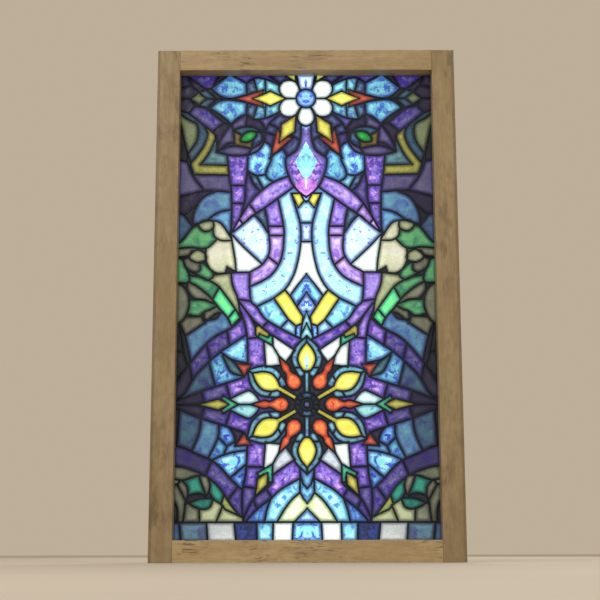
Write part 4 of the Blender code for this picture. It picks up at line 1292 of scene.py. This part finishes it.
def worn_oak_group():
    """Oak grain along Z, with brown smudges, dark scratches in clusters and knocks."""
    made = bpy.data.node_groups.get("worn oak")
    if made:
        return made
    tree, w = new_group("worn oak", (
        ("Vector", "NodeSocketVector", None), ("Smudges", "NodeSocketFloat", 0.5),
        ("Ticks", "NodeSocketFloat", 0.5),
    ), (("Color", "NodeSocketColor"), ("Roughness", "NodeSocketFloat"), ("Height", "NodeSocketFloat")))
    group_in = w.add("NodeGroupInput").outputs
    place = group_in["Vector"]

    def stretched(x, y, z):
        return w.add("ShaderNodeVectorMath", {0: place, 1: (x, y, z)}, operation="MULTIPLY").outputs[0]

    grain = w.noise(stretched(1.0, 1.0, 0.07), 420.0, 4.0, 0.62, 0.4)
    figure = w.noise(stretched(1.0, 1.0, 0.14), 46.0, 3.0, 0.5, 1.2)
    mottle = w.noise(stretched(1.0, 1.0, 0.6), 110.0, 4.0, 0.6)
    smudges = w.noise(stretched(1.0, 1.0, 0.38), 66.0, 3.0, 0.55)
    clusters = w.noise(place, 9.0, 3.0, 0.55)
    scratches = w.noise(stretched(1.0, 1.0, 0.14), 270.0, 3.0, 0.6, 0.5)
    scratched = w.noise(place, 13.0, 3.0, 0.55)
    knocks = w.noise(stretched(1.0, 1.0, 0.4), 240.0, 2.0, 0.5)
    colour = w.mix(w.ramp(figure, 0.3, 0.7), (0.36, 0.262, 0.130, 1.0), (0.44, 0.332, 0.182, 1.0))
    colour = w.mix(w.ramp(grain, 0.42, 0.70, 0.0, 0.34), colour, (0.24, 0.163, 0.080, 1.0))
    colour = w.mix(w.ramp(mottle, 0.38, 0.66, 0.0, 0.30), colour, (0.27, 0.192, 0.094, 1.0))
    smudge = w.math("MULTIPLY", w.ramp(smudges, 0.46, 0.66), w.ramp(clusters, 0.40, 0.62, 0.15, 1.0))
    colour = w.mix(w.math("MULTIPLY", smudge, group_in["Smudges"]), colour, (0.205, 0.145, 0.076, 1.0))
    scratch = w.math("MULTIPLY", w.ramp(scratches, 0.53, 0.61), w.ramp(scratched, 0.48, 0.58))
    knock = w.math("MULTIPLY", w.ramp(knocks, 0.68, 0.74), 0.6)
    mark = w.math("MULTIPLY", w.math("MAXIMUM", scratch, knock), group_in["Ticks"])
    colour = w.mix(mark, colour, (0.105, 0.073, 0.040, 1.0))
    height = w.math("SUBTRACT", w.math("MULTIPLY", figure, 0.3), w.math("MULTIPLY", grain, 0.5))
    w.add("NodeGroupOutput", {"Color": colour, "Roughness": w.ramp(grain, 0.3, 0.7, 0.48, 0.66),
                              "Height": height})
    return tree


def oak_material(name, lying, smudges, ticks, light=1.0):
    """Worn oak for a standing or a lying member, with painted shade along the frame's outer arris."""
    made = bpy.data.materials.get(name)
    if made:
        return made
    material = bpy.data.materials.new(name)
    material.use_nodes = True
    w = Wiring(material.node_tree)
    shader = material.node_tree.nodes["Principled BSDF"]
    place = w.add("ShaderNodeTexCoord").outputs["Object"]
    parts = w.add("ShaderNodeSeparateXYZ", {"Vector": place}).outputs
    across = w.math("ABSOLUTE", parts["X"])
    if lying:
        place = w.add("ShaderNodeCombineXYZ", {
            "X": parts["Z"], "Y": parts["Y"], "Z": parts["X"]}).outputs["Vector"]
    group = w.add("ShaderNodeGroup", node_tree=worn_oak_group())
    w.feed(group.inputs["Vector"], place)
    group.inputs["Smudges"].default_value = smudges
    group.inputs["Ticks"].default_value = ticks
    # Painted shade darkens the frame's outer arris
    painted_arris_shade = w.ramp(across, HALF_FRAME - ARRIS_SHADE_START, HALF_FRAME - ARRIS_SHADE_FULL, 0.0, 0.5)
    colour = w.mix(painted_arris_shade, group.outputs["Color"], (0.18, 0.120, 0.055, 1.0))
    colour = w.mix(1.0, colour, (light, light, light, 1.0), "MULTIPLY")
    w.feed(shader.inputs["Base Color"], colour)
    w.feed(shader.inputs["Roughness"], group.outputs["Roughness"])
    bump = w.add("ShaderNodeBump", {"Height": group.outputs["Height"], "Strength": 0.5,
                                    "Distance": 0.0006})
    w.feed(shader.inputs["Normal"], bump.outputs["Normal"])
    return material


class Rim:
    """The edges of a pane, and which of them lie under lead."""

    def __init__(self, loops, leaded):
        self.places = []
        self.walls = []
        for loop in loops:
            first = len(self.places)
            self.places += [Vector(p) for p in loop]
            self.walls += [(first + i, first + (i + 1) % len(loop)) for i in range(len(loop))]
        self.starts = np.array([tuple(p) for p in self.places])
        self.runs = self.starts[[b for _, b in self.walls]] - self.starts
        self.squares = np.maximum((self.runs ** 2).sum(axis=1), 1e-18)
        self.leaded = np.array(leaded)

    def from_edges(self, x, z):
        """The distance of a place from each edge."""
        away = np.array((x, z)) - self.starts
        share = np.clip((away * self.runs).sum(axis=1) / self.squares, 0.0, 1.0)
        return np.sqrt(((away - self.runs * share[:, None]) ** 2).sum(axis=1))

    def nearest(self, x, z):
        """The distance of a place from the pane's edge."""
        return float(self.from_edges(x, z).min())

    def from_lead(self, x, z):
        """The distance of a place from the nearest edge that lies under lead."""
        return float(self.from_edges(x, z)[self.leaded].min(initial=FAR_FROM_LEAD))


def inner_points(loops, rim, step, seed):
    """Points strewn evenly over a pane, off its rim."""
    xs = [p[0] for p in loops[0]]
    zs = [p[1] for p in loops[0]]
    found = []
    dice = random.Random(seed)
    for row in range(int((max(zs) - min(zs)) / step) + 1):
        for column in range(int((max(xs) - min(xs)) / step) + 1):
            x = min(xs) + (column + 0.5 * (row % 2) + JITTER * dice.random()) * step
            z = min(zs) + (row + JITTER * dice.random()) * step
            if inside((x, z), loops) and rim.nearest(x, z) > step * RIM_MARGIN:
                found.append(Vector((x, z)))
    return found


def drawn_in(verts, open_edges, rim, gap):
    """The points of a pane, with its rim set back from the lead or from a seam."""
    moved = [tuple(v) for v in verts]
    ahead = {a: b for a, b in open_edges}
    behind = {b: a for a, b in open_edges}
    middles = {edge: (verts[edge[0]] + verts[edge[1]]) / 2 for edge in open_edges}
    covered = {v for edge in open_edges for v in edge if rim.from_lead(*middles[edge]) < 1e-6}
    for v in ahead.keys() & behind.keys():
        p, q, r = verts[behind[v]], verts[v], verts[ahead[v]]
        one, two = (q - p).normalized(), (r - q).normalized()
        normal = Vector((-one.y - two.y, one.x + two.x))
        if normal.length > 0.2:
            normal = normal.normalized() * (gap if v in covered else SEAM_GAP)
            moved[v] = (q.x + normal.x, q.y + normal.y)
    return moved


def pane_mesh(loops, leaded, settings, seed, front, back):
    """A closed slab of glass inside an outline: its points, faces and rim distances."""
    width = 2 * abs(sum(area(loop) for loop in loops)) / sum(
        apart(a, b) for loop in loops for a, b in sides_of(loop))
    step = min(settings.mesh_step, max(settings.finest_step, STEP_PER_WIDTH * width))
    rim = Rim(loops, leaded)
    places = rim.places + inner_points(loops, rim, step, seed)
    verts, _, faces, _, _, _ = delaunay_2d_cdt(places, rim.walls, [], 1, 1e-6, False)
    faces = [face for face in faces
             if inside(tuple(sum((verts[v] for v in face), Vector((0, 0))) / len(face)), loops)]
    if not faces:
        return [], [], []
    border = dict.fromkeys(side for face in faces for side in sides_of(face))
    open_edges = [(a, b) for a, b in border if (b, a) not in border]
    on_rim = {v for edge in open_edges for v in edge}
    moved = drawn_in(verts, open_edges, rim, settings.pane_gap)
    distances = [rim.from_lead(*v) for v in moved]
    stretch = min(WIDEST_STRETCH, max(1.0, settings.rim_end / max(max(distances), 1e-6)))
    distances = [distance * stretch for distance in distances]
    points = []
    for y in (front, back):
        for i, (x, z) in enumerate(moved):
            wave = sin(x * SWELL_WAVES[0] + seed) * sin(z * SWELL_WAVES[1] + seed * 2)
            points.append((x, y if i in on_rim else y + SWELL * wave, z))
    total = len(verts)
    solid = [tuple(face) for face in faces]
    solid += [tuple(v + total for v in reversed(face)) for face in faces]
    solid += [(a, a + total, b + total, b) for a, b in open_edges]
    return points, solid, distances + distances


class GlassSettings(bpy.types.PropertyGroup):
    """Sizes of the panes and the light in them"""
    thickness: bpy.props.FloatProperty(
        name="Glass thickness", description="Thickness of each pane", default=GLASS_THICKNESS,
        unit="LENGTH", precision=4)
    pane_gap: bpy.props.FloatProperty(
        name="Pane gap", description="How far a pane stays from the middle of its lead",
        default=0.0009, unit="LENGTH", precision=4)
    mesh_step: bpy.props.FloatProperty(
        name="Mesh step", description="Distance between the points inside a wide pane",
        default=0.0038, unit="LENGTH", precision=4)
    finest_step: bpy.props.FloatProperty(
        name="Finest step", description="Distance between the points inside a narrow pane",
        default=0.0017, unit="LENGTH", precision=4)
    # The glow is emission: painted light in place of the light behind the panel
    glow: bpy.props.FloatProperty(
        name="Glow", description="Strength of the light that comes through the glass", default=1.0)
    # Side light: how much of the painted glow is left at the panel's sides, painted shade
    side_light: bpy.props.FloatProperty(
        name="Side light", description="Light that is left at the sides of the panel", default=0.68)
    # The rim settings shape the painted shade along the leads, from darkest by the lead to fully lit
    # further in
    rim_start: bpy.props.FloatProperty(
        name="Rim start", description="Distance from a lead's middle where the dull rim is darkest",
        default=0.0012, unit="LENGTH", precision=4)
    rim_end: bpy.props.FloatProperty(
        name="Rim end", description="Distance from a lead's middle where the glass is fully lit",
        default=0.0080, unit="LENGTH", precision=4)
    rim_light: bpy.props.FloatProperty(
        name="Rim light", description="Light left at the very rim of a pane", default=0.36)
    haze: bpy.props.FloatProperty(
        name="Haze", description="How much a pane's rim takes the cloud colour", default=0.70)


class CameSettings(bpy.types.PropertyGroup):
    """Sizes of the lead cames and their solder"""
    face: bpy.props.FloatProperty(
        name="Came face", description="Width of a lead came seen from the front", default=0.0042,
        unit="LENGTH", precision=4)
    depth: bpy.props.FloatProperty(
        name="Came depth", description="Depth of a lead came from front to back",
        default=PANEL_DEPTH, unit="LENGTH", precision=4)
    solder_radius: bpy.props.FloatProperty(
        name="Solder radius", description="Radius of the solder on a joint", default=0.0030,
        unit="LENGTH", precision=4)
    solder_rise: bpy.props.FloatProperty(
        name="Solder rise", description="How far the solder stands proud of the lead",
        default=0.0004, unit="LENGTH", precision=4)


class WoodSettings(bpy.types.PropertyGroup):
    """Wear of the oak frame"""
    edge_round: bpy.props.FloatProperty(
        name="Edge rounding", description="Width of the worn edges of the frame", default=0.0012,
        unit="LENGTH", precision=4)
    smudges: bpy.props.FloatProperty(
        name="Smudges", description="Strength of the dark streaks on the stiles", default=0.8)
    ticks: bpy.props.FloatProperty(
        name="Knocks", description="Strength of the small dark marks on the rails", default=0.75)


class StageSettings(bpy.types.PropertyGroup):
    """Colours around the panel"""
    floor_colour: bpy.props.FloatVectorProperty(
        name="Floor", description="Colour of the plain floor", subtype="COLOR",
        default=(0.66, 0.60, 0.51))
    backdrop: bpy.props.FloatVectorProperty(
        name="Backdrop", description="Colour of the air around the panel", subtype="COLOR",
        default=(0.60, 0.50, 0.38))


def solder_stamp(settings):
    """A low round blob that the joints are dotted with."""
    made = bmesh.new()
    bmesh.ops.create_icosphere(made, subdivisions=2, radius=1.0)
    rise = settings.depth / 2 + settings.solder_rise
    for vert in made.verts:
        vert.co = (vert.co.x * settings.solder_radius, vert.co.y * settings.solder_radius,
                   vert.co.z * rise)
    mesh = bpy.data.meshes.new("solder blob")
    made.to_mesh(mesh)
    made.free()
    mesh.shade_smooth()
    item = bpy.data.objects.new("solder blob", mesh)
    bpy.context.scene.collection.objects.link(item)
    return item


def node_tree(name, sockets):
    """An empty Geometry Nodes tree with a geometry in and out and named inputs."""
    tree = bpy.data.node_groups.new(name, "GeometryNodeTree")
    tree.interface.new_socket("Geometry", in_out="INPUT", socket_type="NodeSocketGeometry")
    found = {}
    for label, kind, default in sockets:
        socket = tree.interface.new_socket(label, in_out="INPUT", socket_type=kind)
        if default is not None:
            socket.default_value = default
        found[label] = socket.identifier
    tree.interface.new_socket("Geometry", in_out="OUTPUT", socket_type="NodeSocketGeometry")
    return tree, Wiring(tree), found


def finish(w, given, geometry):
    """Ends a tree: stands its flat geometry upright, makes it real and gives it its material."""
    lift = w.add("ShaderNodeCombineXYZ", {"Y": given["Set Back"]}).outputs["Vector"]
    upright = w.add("GeometryNodeTransform", {
        "Geometry": geometry, "Translation": lift, "Rotation": (pi / 2, 0.0, 0.0)})
    real = w.add("GeometryNodeRealizeInstances", {"Geometry": upright.outputs["Geometry"]})
    dressed = w.add("GeometryNodeSetMaterial", {"Geometry": real.outputs["Geometry"],
                                                "Material": given["Material"]})
    w.add("NodeGroupOutput", {"Geometry": dressed.outputs["Geometry"]})


def grown(name, source, tree, values):
    """The plain mesh that a Geometry Nodes tree grows on an object, as a new object."""
    modifier = source.modifiers.new(tree.name, "NODES")
    modifier.node_group = tree
    for identifier, value in values.items():
        modifier[identifier] = value
    bpy.context.view_layer.update()
    graph = bpy.context.evaluated_depsgraph_get()
    mesh = bpy.data.meshes.new_from_object(source.evaluated_get(graph))
    source.modifiers.remove(modifier)
    if not mesh.polygons:
        raise RuntimeError(name + " came out empty")
    item = bpy.data.objects.new(name, mesh)
    bpy.context.scene.collection.objects.link(item)
    mesh.name = name
    return item


def discard(item):
    """Takes a helper object and its mesh out of the scene."""
    mesh = item.data
    bpy.data.objects.remove(item)
    bpy.data.meshes.remove(mesh)


def worn_copy(node, edge_round):
    """A copy of a member's mesh with its sharp edges rounded."""
    mesh = bpy.data.objects[node].data.copy()
    edited = bmesh.new()
    edited.from_mesh(mesh)
    bmesh.ops.remove_doubles(edited, verts=edited.verts, dist=1e-6)
    bmesh.ops.dissolve_limit(edited, angle_limit=radians(1), verts=edited.verts,
                             edges=edited.edges)
    sharp = [edge for edge in edited.edges if edge.calc_face_angle(0.0) > radians(30)]
    bmesh.ops.bevel(edited, geom=sharp, offset=edge_round, segments=3, profile=0.6,
                    affect="EDGES", clamp_overlap=True)
    bmesh.ops.recalc_face_normals(edited, faces=edited.faces)
    edited.to_mesh(mesh)
    edited.free()
    return mesh


class PANEL_OT_frame(bpy.types.Operator):
    """Rounds and finishes the oak frame and the beads behind the glass"""
    bl_idname = "leaded.frame"
    bl_label = "Finish the frame"

    def execute(self, context):
        settings = context.scene.leaded_wood
        for node in STILES + RAILS:
            lying = node in RAILS
            mesh = worn_copy(node, settings.edge_round)
            item = bpy.data.objects.new(node + "_oak", mesh)
            context.scene.collection.objects.link(item)
            mesh.materials.clear()
            mesh.materials.append(oak_material(
                node.replace("_", " ") + " oak", lying,
                RAIL_SMUDGES if lying else settings.smudges,
                settings.ticks if lying else STILE_MARKS, OAK_LIGHT[node]))
            mesh.shade_smooth()
            mesh.set_sharp_from_angle(angle=radians(35))
            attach(item, BODY)
            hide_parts(node)
        for node in BEADS:
            lying = node.startswith(("top", "bottom"))
            data = bpy.data.objects[node].data
            data.materials.clear()
            data.materials.append(oak_material(
                "bead wood lying" if lying else "bead wood standing", lying,
                BEAD_SMUDGES, BEAD_MARKS, BEAD_LIGHT))
        return {"FINISHED"}


def came_sweep():
    """A tree that runs a rounded came along every link of a flat net, then stands it upright."""
    tree, w, found = node_tree("came sweep", (
        ("Face", "NodeSocketFloat", 0.005), ("Depth", "NodeSocketFloat", 0.006),
        ("Set Back", "NodeSocketFloat", 0.0), ("Material", "NodeSocketMaterial", None)))
    given = w.add("NodeGroupInput").outputs
    curve = w.add("GeometryNodeMeshToCurve", {"Mesh": given["Geometry"]}).outputs["Curve"]
    curve = w.add("GeometryNodeSetCurveNormal", {"Curve": curve}, mode="Z_UP").outputs["Curve"]
    section = w.add("GeometryNodeCurvePrimitiveCircle", {
        "Resolution": CAME_SIDES, "Radius": 1.0}, mode="RADIUS").outputs["Curve"]
    size = w.add("ShaderNodeCombineXYZ", {
        "X": w.math("MULTIPLY", given["Face"], RADIUS_PER_FACE),
        "Y": w.math("MULTIPLY", given["Depth"], 0.5), "Z": 1.0}).outputs["Vector"]
    section = w.add("GeometryNodeTransform", {"Geometry": section, "Scale": size})
    swept = w.add("GeometryNodeCurveToMesh", {
        "Curve": curve, "Profile Curve": section.outputs["Geometry"], "Fill Caps": True})
    finish(w, given, swept.outputs["Mesh"])
    return tree, found


class PANEL_OT_cames(bpy.types.Operator):
    """Runs lead cames along every joint of the glass"""
    bl_idname = "leaded.cames"
    bl_label = "Lay the lead cames"

    def execute(self, context):
        settings = context.scene.leaded_cames
        _, spots, leads = glazed()
        lines = bpy.data.meshes.new("came lines")
        lines.from_pydata([(x, z, 0.0) for x, z in spots], leads, [])
        source = bpy.data.objects.new("came lines", lines)
        context.scene.collection.objects.link(source)
        tree, found = came_sweep()
        cames = grown("lead_cames", source, tree, {
            found["Face"]: settings.face, found["Depth"]: settings.depth,
            found["Set Back"]: PANEL_MIDDLE, found["Material"]: lead_material()})
        cames.data.shade_smooth()
        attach(cames, BODY)
        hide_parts(NET_NODE)
        discard(source)
        return {"FINISHED"}


def soldered_places(spots, leads):
    """Where cames meet or turn sharply, in sight of the front."""
    beside = {}
    for a, b in leads:
        beside.setdefault(a, []).append(b)
        beside.setdefault(b, []).append(a)
    joints = []
    for spot, others in beside.items():
        here = Vector(spots[spot])
        ways = [Vector(spots[other]) - here for other in others]
        bent = len(ways) == 2 and all(way.length > 0 for way in ways) \
            and ways[0].angle(ways[1]) < radians(SHARP_TURN)
        at_rim = abs(here.x) > HALF_SIGHT or not SIGHT_BOTTOM < here.y < SIGHT_TOP
        if (len(ways) > 2 or bent) and not at_rim:
            joints.append((here.x, here.y, 0.0))
    return joints


def solder_dots():
    """A tree that sets a blob, turned and stretched at random, on every point."""
    tree, w, found = node_tree("solder dots", (
        ("Blob", "NodeSocketObject", None), ("Seed", "NodeSocketInt", 7),
        ("Set Back", "NodeSocketFloat", 0.0), ("Material", "NodeSocketMaterial", None)))
    given = w.add("NodeGroupInput").outputs
    blob = w.add("GeometryNodeObjectInfo", {"Object": given["Blob"]}).outputs["Geometry"]
    points = w.add("GeometryNodeMeshToPoints", {"Mesh": given["Geometry"]}).outputs["Points"]
    spin = w.add("FunctionNodeRandomValue", {0: (0.0, 0.0, 0.0), 1: (0.0, 0.0, 2 * pi),
                                             "Seed": given["Seed"]}, data_type="FLOAT_VECTOR")
    stretch = w.add("FunctionNodeRandomValue", {0: (0.75, 0.75, 0.96), 1: (1.15, 1.05, 1.0),
                                                "Seed": 3}, data_type="FLOAT_VECTOR")
    dots = w.add("GeometryNodeInstanceOnPoints", {
        "Points": points, "Instance": blob, "Rotation": spin.outputs[0],
        "Scale": stretch.outputs[0]}).outputs["Instances"]
    finish(w, given, dots)
    return tree, found


class PANEL_OT_solder(bpy.types.Operator):
    """Solders the cames where they meet"""
    bl_idname = "leaded.solder"
    bl_label = "Solder the joints"

    def execute(self, context):
        settings = context.scene.leaded_cames
        _, spots, leads = glazed()
        cloud = bpy.data.meshes.new("joints")
        cloud.from_pydata(soldered_places(spots, leads), [], [])
        source = bpy.data.objects.new("joints", cloud)
        context.scene.collection.objects.link(source)
        stamp = solder_stamp(settings)
        tree, found = solder_dots()
        solder = grown("solder_joints", source, tree, {
            found["Blob"]: stamp, found["Set Back"]: PANEL_MIDDLE,
            found["Material"]: lead_material()})
        solder.data.shade_smooth()
        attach(solder, BODY)
        discard(source)
        discard(stamp)
        return {"FINISHED"}


def pane_seed(outline):
    """A number that a pane shares with its mirror image alone, near enough."""
    away = sum(abs(point[0]) for point in outline) / len(outline)
    height = sum(point[1] for point in outline) / len(outline)
    return int(away * SEEDS_PER_METRE) * 7 + int(height * SEEDS_PER_METRE)


class PANEL_OT_glass(bpy.types.Operator):
    """Cuts every pane and groups the panes by their sheet of glass"""
    bl_idname = "leaded.glass"
    bl_label = "Cut and set the glass"

    def execute(self, context):
        settings = context.scene.leaded_glass
        front = PANEL_MIDDLE - settings.thickness / 2
        back = PANEL_MIDDLE + settings.thickness / 2
        panes, _, _ = glazed()
        nodes = [item.name for item in bpy.data.objects if item.type == "MESH"]
        for sheet, (tones, slot, families, clouds) in SHEETS.items():
            points, faces, rims, seeds = [], [], [], []
            colours = {"body_tone": [], "cloud_tone": [], "spot_tone": []}
            for loops, leaded, tone in panes:
                if tone not in tones:
                    continue
                seed = pane_seed(loops[0])
                verts, sides, distances = pane_mesh(loops, leaded, settings, seed, front, back)
                start = len(points)
                points += verts
                faces += [tuple(v + start for v in side) for side in sides]
                rims += [d * 1000 for d in distances]
                dice = random.Random(seed)
                shade = dice.uniform(0.93, 1.07)
                for values, colour in zip(colours.values(), TONES[tone]):
                    lit = tuple(c * shade for c in from_display(colour))
                    values += [lit + (1.0,)] * len(verts)
                seeds += [dice.uniform(0.0, 3.0)] * len(verts)
            item = new_piece(sheet, points, faces,
                             glass_material(sheet.replace("_", " "), clouds, settings))
            fields = [(name, "FLOAT_COLOR", "color", values) for name, values in colours.items()]
            fields += [("rim_distance", "FLOAT", "value", rims),
                       ("pane_seed", "FLOAT", "value", seeds)]
            for name, kind, key, values in fields:
                attribute = item.data.attributes.new(name, kind, "POINT")
                attribute.data.foreach_set(key, np.array(values, dtype=np.float32).ravel())
            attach(item, BODY)
            stands_for = [node for node in nodes if node.rstrip("0123456789_") in families]
            if stands_for:
                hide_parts(*stands_for)
        return {"FINISHED"}


def floor_material(tone):
    """A plain matt floor with faint soft patches."""
    material = bpy.data.materials.new("plain floor")
    material.use_nodes = True
    w = Wiring(material.node_tree)
    shader = material.node_tree.nodes["Principled BSDF"]
    place = w.add("ShaderNodeTexCoord").outputs["Object"]
    colour = w.mix(w.ramp(w.noise(place, 3.0), 0.3, 0.7), tone + (1.0,),
                   tuple(c * 0.96 for c in tone) + (1.0,))
    w.feed(shader.inputs["Base Color"], colour)
    shader.inputs["Roughness"].default_value = 0.8
    return material


def soft_air(colour):
    """An even light from all around."""
    world = bpy.data.worlds.new("soft air")
    bpy.context.scene.world = world
    world.use_nodes = True
    background = world.node_tree.nodes["Background"]
    background.inputs["Color"].default_value = colour + (1.0,)
    background.inputs["Strength"].default_value = AIR_STRENGTH


def hang_lamp(name, where, size, power):
    """A square soft lamp that points at the middle of the frame."""
    data = bpy.data.lights.new(name, "AREA")
    data.shape = "SQUARE"
    data.size = size
    data.energy = power
    lamp = bpy.data.objects.new(name, data)
    bpy.context.scene.collection.objects.link(lamp)
    lamp.location = where
    aim = Vector((0.0, 0.0, (FRAME_BOTTOM + FRAME_TOP) / 2)) - Vector(where)
    lamp.rotation_euler = aim.to_track_quat("-Z", "Y").to_euler()


def set_camera():
    """The camera, below the panel and looking up at it."""
    lens = bpy.data.cameras.new("camera")
    lens.lens = CAMERA_LENS
    lens.sensor_width = CAMERA_SENSOR
    camera = bpy.data.objects.new("camera", lens)
    bpy.context.scene.collection.objects.link(camera)
    camera.location = CAMERA_PLACE
    camera.rotation_euler = tuple(radians(angle) for angle in CAMERA_TURN)
    bpy.context.scene.camera = camera


class PANEL_OT_stage(bpy.types.Operator):
    """Sets the floor, the soft light and the camera"""
    bl_idname = "leaded.stage"
    bl_label = "Set the stage"

    def execute(self, context):
        settings = context.scene.leaded_stage
        corners = [(-FLOOR_REACH, -FLOOR_REACH), (FLOOR_REACH, -FLOOR_REACH),
                   (FLOOR_REACH, FLOOR_REACH), (-FLOOR_REACH, FLOOR_REACH)]
        floor = new_piece("floor", [(x, y, FRAME_BOTTOM) for x, y in corners], [(0, 1, 2, 3)],
                          floor_material(tuple(settings.floor_colour)))
        soft_air(tuple(settings.backdrop))
        for name, where, size, power in LAMPS:
            hang_lamp(name, where, size, power)
        set_camera()
        context.scene.view_settings.view_transform = "Standard"
        context.scene.view_settings.look = "None"
        return {"FINISHED"}


class PANEL_PT_sidebar(bpy.types.Panel):
    """The settings and the steps, in the 3D view's sidebar"""
    bl_label = "Leaded glass panel"
    bl_space_type = "VIEW_3D"
    bl_region_type = "UI"
    bl_category = "Leaded glass"

    def draw(self, context):
        for name in SETTINGS:
            box = self.layout.box()
            group = getattr(context.scene, name)
            for key in group.bl_rna.properties.keys():
                if key not in ("rna_type", "name"):
                    box.prop(group, key)
        for operator in OPERATORS:
            self.layout.operator(operator.bl_idname)


SETTINGS = {"leaded_wood": WoodSettings, "leaded_cames": CameSettings, "leaded_glass": GlassSettings,
            "leaded_stage": StageSettings}
OPERATORS = (PANEL_OT_frame, PANEL_OT_cames, PANEL_OT_solder, PANEL_OT_glass, PANEL_OT_stage)


def register():
    for kind in (*SETTINGS.values(), *OPERATORS, PANEL_PT_sidebar):
        bpy.utils.register_class(kind)
    for name, kind in SETTINGS.items():
        setattr(bpy.types.Scene, name, bpy.props.PointerProperty(type=kind))


def unregister():
    for name in SETTINGS:
        delattr(bpy.types.Scene, name)
    for kind in reversed((*SETTINGS.values(), *OPERATORS, PANEL_PT_sidebar)):
        bpy.utils.unregister_class(kind)


def main():
    register()
    bpy.ops.leaded.frame()
    bpy.ops.leaded.cames()
    bpy.ops.leaded.solder()
    bpy.ops.leaded.glass()
    bpy.ops.leaded.stage()


if __name__ == "__main__":
    main()
